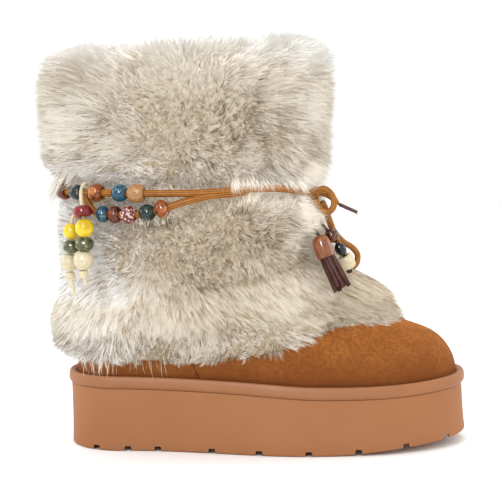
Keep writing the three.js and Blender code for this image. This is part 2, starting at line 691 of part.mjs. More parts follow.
function hemLock(index) {
  const angle = angleOf(index + 0.5, hemLocks);
  const overFoot = Math.max(0, Math.cos(angle)) ** 2;
  const entries = Object.entries(locks.hem);
  const mixed = entries.map(([key, value]) => [key, mix(value, locks.hemOverFoot[key], overFoot)]);
  const row = Object.fromEntries(mixed);
  return lockAt(row, index, hemLevel(angle), angle, furRow(2, angle).pile);
}

function cuffLock(index) {
  const angle = angleOf(index + 0.5, cuffLocks);
  return lockAt(locks.cuff, index, mix(cordLevel, rimLevelAt(angle), cuffEdge), angle, cuffPile);
}

function rimLock(index) {
  const angle = angleOf(index + 0.5, rimLocks);
  return lockAt(locks.rim, index, rimLevelAt(angle), angle, cuffPile);
}

function makeFur() {
  let body = solidOf(makeFurBody());
  for (let index = 0; index < hemLocks; index++) body = body.add(hemLock(index));
  for (let index = 0; index < cuffLocks; index++) body = body.add(cuffLock(index));
  for (let index = 0; index < rimLocks; index++) body = body.add(rimLock(index));
  addPiece("fur_sleeve", geometryFrom(body), materials.fur);
}

function vectors(points) {
  return points.map(([x, y, z]) => new THREE.Vector3(x, y, z));
}

const cordSides = 8;
const laceStride = 2.8;
const nestStride = 1;
const bendStride = 1.4;
const bowStride = 0.7;
const stringStride = 2;

// A round cord along a smooth curve through the points, with closed ends and a step every few diameters.
function cord(curve, diameter, stride) {
  const steps = Math.round(curve.getLength() / (stride * diameter));
  const edge = Array.from({ length: cordSides }, (_, i) => {
    const angle = angleOf(i, cordSides);
    return new THREE.Vector2((Math.cos(angle) * diameter) / 2, (Math.sin(angle) * diameter) / 2);
  });
  return new THREE.ExtrudeGeometry(new THREE.Shape(edge), { steps, bevelEnabled: false, extrudePath: curve });
}

const beadSides = 8;
const beadRim = 0.9;
const beadEnd = 0.66;
const beadBelly = 0.4;

// A bead with a bore along Y: from a flat end over the belly to the other end, and back through the bore.
function beadGeometry(length, diameter, bore) {
  const belly = diameter / 2;
  const end = Math.max(bore / 2 + beadRim, belly * beadEnd);
  const half = length / 2;
  const widest = half * beadBelly;
  const outside = [[end, -half], [belly, -widest], [belly, widest], [end, half]];
  const profile = [[bore / 2, -half], ...outside, [bore / 2, half]];
  const rings = profile.map(([radius, height]) =>
    ring(beadSides, (a) => new THREE.Vector3(radius * Math.sin(a), height, radius * Math.cos(a))),
  );
  return loft(rings, true);
}

function addBead(bead, curve, at, cordDiameter) {
  const bore = cordDiameter / Math.cos(Math.PI / beadSides) + 2 * boreGap;
  const mesh = addPiece(bead.name, beadGeometry(bead.length, bead.diameter, bore), materials[bead.colour]);
  mesh.position.copy(curve.getPoint(at));
  mesh.quaternion.setFromUnitVectors(new THREE.Vector3(0, 1, 0), curve.getTangent(at));
}

// The place on a curve where a measure of the point, rising or falling along it, first passes a value.
function placeWhere(curve, measure, value) {
  const count = 4000;
  const start = Math.sign(measure(curve.getPoint(0)) - value);
  for (let i = 1; i <= count; i++) {
    if (Math.sign(measure(curve.getPoint(i / count)) - value) !== start) return i / count;
  }
  throw new Error("no place on the cord for " + value);
}

// How far the cord stands off the upper where no bead lies: just outside the fur's waist.
function laceStand(angle) {
  const waist = { ...cuffFur[0], nest: 0 };
  return pileOf(waist, angle, cuffPile) + laceGap + laceDiameter / 2;
}

function upperStrandPoint(turn) {
  const angle = -2 * Math.PI * turn;
  const rise = laceRise.level * Math.exp(-(((turn - laceRise.around) / laceRise.width) ** 2));
  const point = upperOffset(cordLevel, angle, laceStand(angle), false);
  point.z = cordLevel + rise;
  return point;
}

function lowerStrandPoint(row) {
  const angle = -Math.acos(row.around);
  const point = upperOffset(cordLevel - row.drop, angle, row.stand * skirtPile, false);
  point.z = cordLevel - row.drop;
  return point;
}

// The two strands of the ankle cord, joined into one piece, and the beads on them.
function makeAnkleCord() {
  const count = 40;
  const turns = Array.from({ length: count + 1 }, (_, i) => mix(laceStart, laceEnd, i / count));
  const strands = {
    upper: new THREE.CatmullRomCurve3(turns.map(upperStrandPoint)),
    lower: new THREE.CatmullRomCurve3(lowerStrand.map(lowerStrandPoint)),
  };
  const upper = solidOf(cord(strands.upper, laceDiameter, laceStride));
  const lower = solidOf(cord(strands.lower, laceDiameter, nestStride));
  addPiece("ankle_cord", geometryFrom(upper.add(lower)), materials.lace);
  const middle = ((shaft.back + shaft.front) / 2) * soleLength;
  const reach = ((shaft.front - shaft.back) / 2) * soleLength + laceStand(Math.PI);
  const around = (point) => (point.x - middle) / reach;
  for (const bead of wrapBeads) {
    const curve = strands[bead.strand];
    addBead(bead, curve, placeWhere(curve, around, bead.at), laceDiameter);
  }
}

function makeBow() {
  const place = vectors([knotPlace])[0];
  const knot = new THREE.IcosahedronGeometry(knotSize / 2, 1);
  knot.scale(0.92, 0.96, 1.08);
  knot.translate(place.x, place.y, place.z);
  const stub = new THREE.CatmullRomCurve3(vectors(laceStub));
  const joined = solidOf(knot).add(solidOf(cord(stub, bowDiameter, bowStride)));
  addPiece("bow_knot", geometryFrom(joined), materials.lace);
  const [near, far] = [bowLoopNear, bowLoopFar].map((route) => new THREE.CatmullRomCurve3(vectors(route)));
  addPiece("bow_loop_near", cord(near, bowDiameter, bowStride), materials.lace);
  addPiece("bow_loop_far", cord(far, bowDiameter, bendStride), materials.lace);
  const tip = new THREE.CatmullRomCurve3(vectors(laceTip));
  addPiece("lace_tip", cord(tip, tipDiameter, stringStride), materials.darkLeather);
}

function makeDrop() {
  const string = new THREE.CatmullRomCurve3(vectors(beadString));
  addPiece("bead_string", cord(string, stringDiameter, stringStride), materials.darkLeather);
  for (const bead of dropBeads) {
    const share = string.getUtoTmapping(bead.at);
    addBead(bead, string, share, stringDiameter);
  }
}

// Tassel: a cord, a rolled leather cap, and strips fused at their heads.
function makeTassel() {
  const hanger = new THREE.CatmullRomCurve3(vectors(tasselCord));
  addPiece("tassel_cord", cord(hanger, stringDiameter, stringStride), materials.darkLeather);
  const [top, middle, end] = vectors(tasselAxis);
  const capLength = top.distanceTo(middle);
  const capRings = capProfile.map(([wide, down]) =>
    ring(10, (a) => {
      const radius = (wide * capDiameter) / 2;
      return new THREE.Vector3(radius * Math.sin(a), -down * capLength, radius * Math.cos(a));
    }),
  );
  const cap = addPiece("tassel_cap", loft(capRings.reverse(), false), materials.leather);
  cap.position.copy(top);
  const down = new THREE.Vector3(0, -1, 0);
  cap.quaternion.setFromUnitVectors(down, middle.clone().sub(top).normalize());
  const skirtLength = middle.distanceTo(end);
  const coreLength = skirtLength * tasselCore.share;
  const core = new THREE.CylinderGeometry(tasselCore.top, tasselCore.bottom, coreLength, 8, 1);
  core.translate(0, -stripGap - coreLength / 2, 0);
  let body = solidOf(core);
  for (let i = 0; i < strips; i++) body = body.add(solidOf(tasselStrip(i, skirtLength)));
  const skirt = addPiece("tassel_strips", geometryFrom(body), materials.darkLeather);
  skirt.position.copy(middle);
  skirt.quaternion.setFromUnitVectors(down, end.clone().sub(middle).normalize());
}

function tasselStrip(index, length) {
  const reach = length * (index % 2 ? shortStrip : 1);
  const strip = new THREE.BoxGeometry(stripWidth, reach, stripThickness);
  const around = angleOf(index, strips);
  strip.translate(0, -stripGap - reach / 2, stripStand);
  strip.rotateX(-stripSplay);
  strip.rotateY(around);
  return strip;
}

function makeCharm() {
  const cords = { front: charmFront, rear: charmRear };
  for (const [name, route] of Object.entries(cords)) {
    const curve = new THREE.CatmullRomCurve3(vectors(route));
    addPiece("charm_cord_" + name, cord(curve, charmDiameter, stringStride), materials.twine);
    for (const bead of charmBeads.filter((row) => row.cord === name)) {
      addBead(bead, curve, placeWhere(curve, (point) => point.z, bead.level), charmDiameter);
    }
  }
}

makeSole();
makeWelt();
makeUpper();
makeInsole();
makeFur();
makeAnkleCord();
makeBow();
makeDrop();
makeTassel();
makeCharm();

fromHeel.position.x = (-(shaft.back + shaft.front) / 2) * soleLength;

export default boot;
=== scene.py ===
import math

import bmesh
import bpy
import numpy as np
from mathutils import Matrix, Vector


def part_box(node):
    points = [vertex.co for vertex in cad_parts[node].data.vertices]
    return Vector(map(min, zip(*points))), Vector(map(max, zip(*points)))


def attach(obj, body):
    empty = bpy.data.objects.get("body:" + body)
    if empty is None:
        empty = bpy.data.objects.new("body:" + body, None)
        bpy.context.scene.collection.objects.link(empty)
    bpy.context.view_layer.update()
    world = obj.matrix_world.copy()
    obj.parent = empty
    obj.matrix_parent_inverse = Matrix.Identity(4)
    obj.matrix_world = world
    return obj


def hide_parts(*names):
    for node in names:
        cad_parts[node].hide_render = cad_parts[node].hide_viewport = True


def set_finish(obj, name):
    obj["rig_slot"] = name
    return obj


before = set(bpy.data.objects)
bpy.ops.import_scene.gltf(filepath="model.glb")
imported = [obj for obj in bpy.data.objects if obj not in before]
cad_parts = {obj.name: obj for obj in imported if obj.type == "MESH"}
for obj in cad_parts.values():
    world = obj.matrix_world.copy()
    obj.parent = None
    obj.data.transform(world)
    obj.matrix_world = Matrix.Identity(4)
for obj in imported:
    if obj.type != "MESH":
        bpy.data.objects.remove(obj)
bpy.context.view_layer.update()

# Driving sizes, in metres, the same as in the part's source. Everything is worked out from the heel.
sole_length = 0.272
ball_width = 0.101
heel_width = 0.067
heel_stack = 0.0424
toe_spring = 0.0075
spring_start = 0.66
spring_bend = 1.1
sole_set_back = 0.0005
sole_edge_round = 0.0013
sole_shoulder = 0.0004
sole_hollow = 0.0003
toe_flare = {"from": (0.7, 1), "low": 0.0014, "high": -0.0007}
groove_width = 0.0046
groove_depth = 0.0032
groove_wall = {"upright": 0.62, "narrows_to": 0.8}
welt_height = 0.0082
welt_bulge = 0.0014
welt_set_back = 0.0008
welt_gap = 0.0004
toe_swing = 0.008
upper_height = 0.218
wall = 0.003
skirt_pile = 0.026
cuff_pile = 0.032
cord_level = 0.1735
rim_level = 0.2775
rim_dip = 0.008
inner_pile_depth = 0.012
inner_pile = 0.007
gap = 0.0003
lace_gap = 0.0006
lace_diameter = 0.0048
bow_diameter = 0.0042
string_diameter = 0.002
charm_diameter = 0.0023
collar_level = heel_stack + upper_height
top_line_fade = 0.16

upper_columns = ("rise", "back", "front", "heel", "ball", "heel_round", "toe_round")
upper_rows = [
    (0, 0.0136, 0.97, 0.447, 0.46, 0.112, 0.25),
    (0.032, 0.0129, 0.9805, 0.455, 0.468, 0.112, 0.255),
    (0.069, 0.0162, 0.9754, 0.455, 0.465, 0.112, 0.262),
    (0.1, 0.0206, 0.9632, 0.455, 0.452, 0.116, 0.277),
    (0.128, 0.0243, 0.9441, 0.455, 0.43, 0.12, 0.307),
    (0.151, 0.0283, 0.9195, 0.462, 0.408, 0.124, 0.337),
    (0.169, 0.0301, 0.8846, 0.47, 0.39, 0.127, 0.36),
    (0.187, 0.032, 0.8437, 0.477, 0.38, 0.131, 0.375),
    (0.21, 0.0342, 0.797, 0.485, 0.375, 0.135, 0.375),
    (0.242, 0.0364, 0.7434, 0.5, 0.375, 0.142, 0.367),
    (0.288, 0.0368, 0.686, 0.515, 0.38, 0.157, 0.352),
    (0.342, 0.0375, 0.6342, 0.545, 0.4, 0.187, 0.337),
    (0.406, 0.0382, 0.597, 0.59, 0.42, 0.225, 0.322),
    (0.489, 0.0368, 0.5732, 0.636, 0.44, 0.262, 0.285),
    (0.594, 0.0364, 0.5673, 0.68, 0.46, 0.27, 0.272),
    (0.726, 0.0305, 0.5596, 0.7, 0.47, 0.27, 0.273),
    (0.863, 0.029, 0.5551, 0.712, 0.475, 0.27, 0.273),
    (1, 0.0294, 0.5551, 0.727, 0.48, 0.27, 0.273),
]
sole_section = {"back": 0, "front": 1, "heel": 0.5, "ball": 0.505, "heel_round": 0.13, "toe_round": 0.275}
sole_top_columns = ("along", "rise")
sole_top_rows = [(0, 1), (0.2, 0.985), (0.43, 0.951), (0.62, 0.884), (0.8, 0.893), (1, 0.963)]
outer_widening = (0.15, 0.63)
inner_widening = (0.32, 0.7)
swinging = (0.45, 1)
grooves = (0.0727, 0.151, 0.225, 0.3584, 0.4734, 0.5936, 0.715, 0.8337, 0.9408)

# The fur's hem: around is the cosine of the angle round the boot, level a share of the heel's height.
hem_columns = ("around", "level")
hem_rows = [
    (-1, 1.434), (-0.5, 1.44), (-0.15, 1.52), (0.05, 1.616), (0.23, 1.76),
    (0.45, 1.9), (0.62, 1.99), (0.8, 2), (0.92, 1.98), (1, 1.99),
]

# The fur's outer face below and above the cord. A row holds how far up it is, how far the fur stands off
# the upper at the back, side and front as shares of the pile, and how far the beads press it in.
skirt_rows = [
    (0.005, 0.31, 0.4, 0.12, 0), (0.06, 0.64, 0.7, 0.57, 0), (0.14, 0.885, 0.85, 0.95, 0),
    (0.22, 0.985, 0.94, 1.25, 0), (0.32, 0.96, 0.92, 1.25, 0), (0.42, 0.79, 0.82, 0.87, 0),
    (0.58, 0.77, 0.79, 0.885, 0), (0.75, 0.8, 0.8, 0.91, 0), (0.86, 0.77, 0.78, 0.85, 0.21),
    (0.92, 0.745, 0.75, 0.79, 0.2), (0.965, 0.6, 0.6, 0.5, 0.15),
]
cuff_rows = [
    (0, 0.478, 0.478, 0.39, 0.12), (0.045, 0.488, 0.488, 0.4, 0.12), (0.1, 0.64, 0.64, 0.64, 0.12),
    (0.16, 0.78, 0.78, 0.75, 0.04), (0.23, 0.92, 0.875, 0.86, 0), (0.35, 0.955, 0.905, 0.89, 0),
    (0.5, 0.985, 0.92, 0.94, 0), (0.68, 1, 0.94, 0.97, 0), (0.8, 0.92, 0.875, 0.95, 0),
    (0.89, 0.72, 0.69, 0.86, 0), (0.96, 0.41, 0.41, 0.58, 0), (1, 0.06, 0.06, 0.12, 0),
    (0.975, -0.19, -0.19, -0.19, 0), (0.91, -0.3, -0.3, -0.3, 0),
]
nest_arriving = (-1.02, -0.9)
nest_leaving = (-0.05, 0.12)


def table(columns, rows):
    return dict(zip(columns, np.array(rows, float).T))


upper_table = table(upper_columns, upper_rows)
sole_top_table = table(sole_top_columns, sole_top_rows)
hem_table = table(hem_columns, hem_rows)
shaft_middle = (upper_table["back"][-1] + upper_table["front"][-1]) / 2 * sole_length
heel_x = -shaft_middle


def smooth_step(value, ends):
    share = np.clip((value - ends[0]) / (ends[1] - ends[0]), 0, 1)
    return share * share * (3 - 2 * share)


def read_smooth(at, places, values):
    """Values at any place, along a smooth curve through the rows."""
    slopes = np.empty_like(values)
    spans = (places[2:] - places[:-2]).reshape((-1,) + (1,) * (values.ndim - 1))
    slopes[1:-1] = (values[2:] - values[:-2]) / spans
    slopes[0] = (values[1] - values[0]) / (places[1] - places[0])
    slopes[-1] = (values[-1] - values[-2]) / (places[-1] - places[-2])
    at = np.clip(np.asarray(at, float), places[0], places[-1])
    i = np.clip(np.searchsorted(places, at, side="right") - 1, 0, len(places) - 2)
    extra = (1,) * (values.ndim - 1)
    width = (places[i + 1] - places[i]).reshape(at.shape + extra)
    share = (at - places[i]).reshape(at.shape + extra) / width
    turn = share * share * (3 - 2 * share)
    leave = share * (1 - share) ** 2
    arrive = share * share * (share - 1)
    straight = values[i] + (values[i + 1] - values[i]) * turn
    return straight + width * (leave * slopes[i] + arrive * slopes[i + 1])


def sole_top(x):
    return heel_stack * read_smooth(x / sole_length, sole_top_table["along"], sole_top_table["rise"])


def sole_bottom(x):
    share = np.maximum(0, (x / sole_length - spring_start) / (1 - spring_start))
    return toe_spring * share**spring_bend


def round_end(share):
    short = 1 - np.clip(share, 0, 1)
    return np.sqrt(np.maximum(0, 1 - short * short))


def foot_outline(section, angle):
    """A foot-shaped outline seen from above: angle 0 is the toe, a quarter turn the inner side."""
    back = section["back"] * sole_length
    front = section["front"] * sole_length
    x = (front + back) / 2 + (front - back) / 2 * np.cos(angle)
    inner = np.sin(angle) >= 0
    along = x / sole_length
    widening = np.where(inner, smooth_step(along, inner_widening), smooth_step(along, outer_widening))
    heel_half = section["heel"] * heel_width
    half = heel_half + (section["ball"] * ball_width - heel_half) * widening
    heel_end = round_end((x - back) / (section["heel_round"] * sole_length))
    toe_end = round_end((front - x) / (section["toe_round"] * sole_length))
    swing = toe_swing * smooth_step(along, swinging)
    return x, swing + np.where(inner, 1, -1) * half * heel_end * toe_end


def outline_out(section, angle):
    step = 0.02
    ahead = foot_outline(section, angle + step)
    behind = foot_outline(section, angle - step)
    out = np.stack([ahead[1] - behind[1], behind[0] - ahead[0]], -1)
    return out / np.linalg.norm(out, axis=-1, keepdims=True)


def upper_face(level, angle, out=0.0, flat=False):
    """Points of the upper's outer face, moved out level. flat keeps each point at its own level."""
    level, angle, out = np.broadcast_arrays(np.asarray(level, float), angle, out)
    rise = np.clip((level - heel_stack) / upper_height, 0, 1)
    places = upper_table["rise"]
    section = {name: read_smooth(rise, places, upper_table[name]) for name in upper_columns[1:]}
    x, y = foot_outline(section, angle)
    felt = 1 - smooth_step(rise, (0, top_line_fade))
    z = heel_stack + gap + rise * upper_height + (sole_top(x) - heel_stack) * felt
    z = np.where(flat | (level > collar_level), level, z)
    outward = outline_out(section, angle)
    return np.stack([x + heel_x + out * outward[..., 0], y + out * outward[..., 1], z], -1)


def sole_ring(angle, out, set_back, height):
    x, y = foot_outline(sole_section, angle)
    outward = outline_out(sole_section, angle)
    x = x + out * outward[..., 0]
    y = y + out * outward[..., 1]
    return np.stack([x - set_back + heel_x, y, height(x)], -1)


def hem_level(angle):
    return heel_stack * read_smooth(np.cos(angle), hem_table["around"], hem_table["level"])


def rim_level_at(angle):
    return rim_level - rim_dip * (1 - np.cos(angle)) / 2


def pile_of(row, angle, full_pile):
    along = np.cos(angle)
    front = np.where(along > 0, along**4, 0)
    back = np.where(along < 0, along * along, 0)
    nest = smooth_step(along, nest_arriving) * (1 - smooth_step(along, nest_leaving)) * (np.sin(angle) < 0)
    _, row_back, row_side, row_front, row_nest = row
    stand = row_front * front + row_back * back + row_side * (1 - front - back)
    return full_pile * (stand - row_nest * nest)


def turns(count):
    return np.arange(count) * 2 * math.pi / count


def smooth_path(points, count):
    """A smooth curve through given points, as many points evenly along it."""
    points = np.array(points, float)
    along = np.concatenate([[0], np.cumsum(np.linalg.norm(np.diff(points, axis=0), axis=1) ** 0.5)])
    fine = read_smooth(np.linspace(0, along[-1], count * 8), along, points)
    length = np.concatenate([[0], np.cumsum(np.linalg.norm(np.diff(fine, axis=0), axis=1))])
    even = np.linspace(0, length[-1], count)
    return np.stack([np.interp(even, length, fine[:, k]) for k in range(3)], -1)


def unit(vectors):
    return vectors / np.maximum(np.linalg.norm(vectors, axis=-1, keepdims=True), 1e-12)


def path_frames(path):
    """Along, across and up at each point of a path, without twist."""
    along = unit(np.gradient(path, axis=0))
    across = np.empty_like(path)
    start = np.cross(along[0], (0.0, 0.0, 1.0))
    if np.linalg.norm(start) < 1e-3:
        start = np.cross(along[0], (1.0, 0.0, 0.0))
    across[0] = unit(start)
    for i in range(1, len(path)):
        level = across[i - 1] - along[i] * np.dot(across[i - 1], along[i])
        across[i] = unit(level)
    return along, across, np.cross(along, across)


# Free cords, given in millimetres from the heel, as in the part's source.
knot_place = (165.8, -28.3, 171.6)
bow_loop_near = [
    (168.3, -31.4, 174.5), (171, -32.6, 175.6), (174.2, -33.4, 174.2), (177, -34, 170.9),
    (178.1, -34.6, 166.6), (176.9, -35, 162.4), (173.6, -35.4, 160.2), (169.9, -35.6, 161.4),
    (167.2, -35.4, 164.8), (165.9, -34.4, 168.6),
]
lace_stub = [
    (166, -25.6, 172), (171, -24.2, 172.2), (175.6, -24.6, 170.6), (179.2, -26.4, 167.8),
    (181.6, -28, 165.4),
]
lace_tip = [(182.3, -28.4, 164.9), (187, -29.4, 162.8), (194.3, -30.6, 159.6)]
bow_loop_far = [
    (170.4, -24.2, 167.2), (173, -22.8, 162.4), (175, -22.2, 156), (177.4, -21.2, 149.6),
    (181.6, -17.8, 143.4), (187.1, -12.4, 138.2), (192.2, -8.4, 135), (196.2, -6, 130),
    (196, -6.4, 124.6), (193.4, -10, 122), (190, -14.4, 125.6), (186.2, -18.6, 131.4),
    (182.4, -22.6, 138.2), (178.6, -26, 146.4), (175.4, -27.8, 155), (172.8, -29, 161.6),
    (170.4, -29.4, 165.8),
]
bead_string = [
    (166.6, -29.4, 166.6), (167.2, -31, 161.6), (168.6, -32.6, 155.8), (171.2, -33.6, 151.1),
    (174.2, -33.9, 147.9), (176.6, -33.4, 145.2), (179.6, -32, 140.6), (182.6, -30.4, 135.8),
    (185.2, -28.6, 131.4), (187.2, -26.8, 127.4), (188.9, -25.4, 122.6), (189.4, -25.2, 118.8),
]
tassel_cord = [
    (163, -32.5, 167.3), (162.5, -35.8, 163.3), (162.8, -38.8, 157.4), (164, -40.8, 151.6),
    (166.4, -41.2, 147.4), (167.4, -41.3, 145.6),
]
tassel_axis = [(167.7, -41.4, 145.2), (172.8, -43.4, 131.2), (183.2, -50, 111.4)]
charm_front = [
    (20.6, -41.4, 168.2), (20, -40.9, 172.6), (18.6, -41.4, 177.8), (16.2, -44.6, 179.2),
    (14.4, -48.6, 176.2), (14.8, -54.6, 170.4), (16.2, -58, 162.6), (17.4, -59.4, 152.6),
    (17.4, -59, 142.6), (16.4, -58, 132.4), (16, -57, 124.4), (16.6, -56.2, 119),
    (17.6, -55.6, 113.6),
]
charm_rear = [
    (20.6, -41.4, 167.4), (19.9, -42.2, 164.6), (17, -42.8, 162.8), (13.2, -43, 162), (10.2, -44.2, 160.6),
    (8.3, -46, 157.8), (7.5, -47.1, 154.2), (7.3, -47.2, 149), (7, -46.6, 139),
    (5.6, -45.4, 128.4), (5.8, -44.8, 120.4), (7, -45.2, 114), (8.2, -45.8, 107),
]
lower_strand_columns = ("around", "drop", "stand")
lower_strand = [
    (-0.765, 1, 0.71), (-0.725, 8, 0.77), (-0.66, 12.8, 0.81), (-0.56, 13.6, 0.82),
    (-0.45, 13.6, 0.82), (-0.34, 13, 0.82), (-0.24, 11.2, 0.81), (-0.13, 8.6, 0.785), (0, 5, 0.75),
    (0.17, 1.6, 0.7), (0.31, 0.4, 0.68), (0.4, -0.2, 0.6), (0.48, -0.4, 0.5),
]
lace_start = 0.083
lace_end = 1.053
lace_rise = {"level": 0.003, "around": 0.15, "width": 0.06}
# The first points of the upper strand are drawn again, so that it leaves the bow's knot in a smooth curve.
lead_in = {"guides": slice(3, 9, 3), "points": 12, "dropped": 4, "joins": 5}


def from_heel(points):
    """Points given in millimetres from the heel, in the frame's metres."""
    return np.array(points, float) / 1000 + (heel_x, 0, 0)


def upper_strand_path(count=420):
    turn = np.linspace(lace_start, lace_end, count)
    angle = -2 * math.pi * turn
    waist = cuff_rows[0][:4] + (0,)
    stand = pile_of(waist, angle, cuff_pile) + lace_gap + lace_diameter / 2
    path = upper_face(np.full(count, cord_level), angle, stand)
    away = (turn - lace_rise["around"]) / lace_rise["width"]
    path[:, 2] = cord_level + lace_rise["level"] * np.exp(-(away**2))
    guides = np.concatenate([from_heel([knot_place]), path[lead_in["guides"]]])
    leaving = smooth_path(guides, lead_in["points"])[: -lead_in["dropped"]]
    return np.concatenate([leaving, path[lead_in["joins"]:]])


def lower_strand_path(count=180):
    rows = table(lower_strand_columns, lower_strand)
    level = cord_level - rows["drop"] / 1000
    points = upper_face(level, -np.arccos(rows["around"]), rows["stand"] * skirt_pile, flat=True)
    return smooth_path(points, count)


# Camera at the photograph's angle: a little above the cord, tilted five degrees down.
camera_place = (0.0434, -0.8, 0.2023)
camera_aim = (0.0434, 0, 0.1322)
lens_mm = 83.95
sensor_mm = 36


def make_camera():
    data = bpy.data.cameras.new("camera")
    data.lens = lens_mm
    data.sensor_width = sensor_mm
    camera = bpy.data.objects.new("camera", data)
    camera.location = camera_place
    camera.rotation_euler = (Vector(camera_aim) - Vector(camera_place)).to_track_quat("-Z", "Y").to_euler()
    bpy.context.scene.collection.objects.link(camera)
    bpy.context.scene.camera = camera


def look_straight():
    bpy.context.scene.view_settings.view_transform = "Standard"


# Meshes
def mesh_object(name, points, faces, material, slot, replaced=()):
    """One piece of the boot. faces is one array of faces with the same number of corners, or several. A
    fourth number of the points, if they have one, goes into the UV map that the cord material reads to
    paint shade into the grooves between its ribs."""
    groups = faces if isinstance(faces, list) else [faces]
    corners = np.concatenate([group.ravel() for group in groups]).astype(np.int32)
    sizes = np.concatenate([np.full(len(group), group.shape[1]) for group in groups])
    starts = np.concatenate([[0], np.cumsum(sizes)[:-1]]).astype(np.int32)
    mesh = bpy.data.meshes.new(name)
    mesh.vertices.add(len(points))
    mesh.vertices.foreach_set("co", np.ascontiguousarray(points[:, :3], np.float32).ravel())
    mesh.loops.add(len(corners))
    mesh.loops.foreach_set("vertex_index", corners)
    mesh.polygons.add(len(sizes))
    mesh.polygons.foreach_set("loop_start", starts)
    mesh.update(calc_edges=True)
    mesh.shade_smooth()
    if points.shape[1] == 4:
        places = np.stack([points[corners, 3], np.full(len(corners), 0.5)], -1)
        mesh.uv_layers.new(name="lace").data.foreach_set("uv", places.astype(np.float32).ravel())
    mesh.materials.append(material)
    piece = bpy.data.objects.new(name, mesh)
    bpy.context.scene.collection.objects.link(piece)
    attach(piece, "root")
    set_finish(piece, slot)
    if replaced:
        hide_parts(*replaced)
    return piece


def grid_faces(rows, columns, closed=False):
    """Quads between rings of points that lie one above the other."""
    i = np.arange(rows if closed else rows - 1)[:, None]
    j = np.arange(columns)[None, :]
    ahead = (i + 1) % rows
    beside = (j + 1) % columns
    corners = (i * columns + j, i * columns + beside, ahead * columns + beside, ahead * columns + j)
    return np.stack(np.broadcast_arrays(*corners), -1).reshape(-1, 4)


def loft(rings, closed=False):
    """Points and faces of rings joined up, with closed ends or else closed round."""
    rows, columns, numbers = rings.shape
    points = rings.reshape(-1, numbers)
    quads = grid_faces(rows, columns, closed)
    if closed:
        return points, [quads]
    j = np.arange(columns)
    beside = (j + 1) % columns
    low = np.stack([beside, j, np.full(columns, len(points))], -1)
    top = (rows - 1) * columns
    high = np.stack([top + j, top + beside, np.full(columns, len(points) + 1)], -1)
    points = np.concatenate([points, rings[:1].mean(1), rings[-1:].mean(1)])
    return points, [quads, low, high]


def joined(parts):
    """Several lofts as one."""
    points = []
    faces = []
    count = 0
    for part_points, part_faces in parts:
        points.append(part_points)
        faces += [group + count for group in part_faces]
        count += len(part_points)
    return np.concatenate(points), faces


def tube_rings(path, radius, sides):
    _, across, up = path_frames(path)
    angle = turns(sides)
    radius = np.broadcast_to(radius, (len(path), sides))[..., None]
    cos = np.cos(angle)[None, :, None]
    sin = np.sin(angle)[None, :, None]
    return path[:, None] + radius * (cos * across[:, None] + sin * up[:, None])


# A cord's round ends: how far they reach as a share of its diameter, and their smallest radius as a share
cord_end = {"reach": 0.35, "least": 0.25}


def rounded_ends(path, radius, reach):
    """A radius along the path that closes in round at both ends."""
    length = np.concatenate([[0], np.cumsum(np.linalg.norm(np.diff(path, axis=0), axis=1))])
    near = np.minimum(length, length[-1] - length)
    return radius * np.maximum(cord_end["least"], round_end(near / reach))


def with_fine_ends(path, reach, count=5):
    """The path with closer points near its ends, for a round end."""
    length = np.concatenate([[0], np.cumsum(np.linalg.norm(np.diff(path, axis=0), axis=1))])
    ends = reach * (1 - np.cos(np.linspace(0, math.pi / 2, count)))
    inside = length[(length > reach) & (length < length[-1] - reach)]
    places = np.concatenate([ends, inside, length[-1] - ends[::-1]])
    return np.stack([np.interp(places, length, path[:, k]) for k in range(3)], -1)


def cord_tube(path, diameter, sides=12, ridges=0, depth=0.0):
    """A round cord with lengthwise ridges and rounded ends."""
    reach = diameter * cord_end["reach"]
    path = with_fine_ends(path, reach)
    radius = rounded_ends(path, diameter / 2, reach)[:, None]
    if not ridges:
        return loft(tube_rings(path, radius, sides))
    ridge = np.abs(np.sin(turns(sides) * ridges / 2))[None, :]
    rings = tube_rings(path, radius * (1 - depth + depth * ridge), sides)
    ridge = np.broadcast_to(ridge, rings.shape[:2])
    return loft(np.concatenate([rings, ridge[..., None]], -1))


nearly_upright = 0.9


def rotation_to(axis):
    """Across, up and along as the rows of a matrix that turns Z to the axis."""
    axis = axis / np.linalg.norm(axis)
    helper = np.array((0.0, 0.0, 1.0) if abs(axis[2]) < nearly_upright else (1.0, 0.0, 0.0))
    across = unit(np.cross(helper, axis))
    return np.stack([across, np.cross(axis, across), axis])


def nearest_tangent(path, place):
    along = unit(np.gradient(path, axis=0))
    return along[np.argmin(np.linalg.norm(path - place, axis=1))]


# Node trees
def put(tree, kind, **values):
    """A node with its sockets and settings. A socket's value may be another node's socket."""
    node = tree.nodes.new(kind)
    for key, value in values.items():
        name = key.replace("_", " ")
        socket = next((s for s in node.inputs if s.name.lower() == name.lower()), None)
        if socket is None:
            setattr(node, key, value)
        elif isinstance(value, bpy.types.NodeSocket):
            tree.links.new(value, socket)
        else:
            socket.default_value = value
    return node


def maths(tree, operation, first, second=0.0, third=0.0):
    node = tree.nodes.new("ShaderNodeMath")
    node.operation = operation
    for socket, value in zip(node.inputs, (first, second, third)):
        if isinstance(value, bpy.types.NodeSocket):
            tree.links.new(value, socket)
        else:
            socket.default_value = value
    return node.outputs[0]


def blended(tree, share, first, second, mode="MIX"):
    node = tree.nodes.new("ShaderNodeMix")
    node.data_type = "RGBA"
    node.blend_type = mode
    colours = [s for s in node.inputs if s.type == "RGBA"]
    for socket, value in zip([node.inputs[0]] + colours, (share, first, second)):
        if isinstance(value, bpy.types.NodeSocket):
            tree.links.new(value, socket)
        else:
            socket.default_value = value
    return next(s for s in node.outputs if s.type == "RGBA")


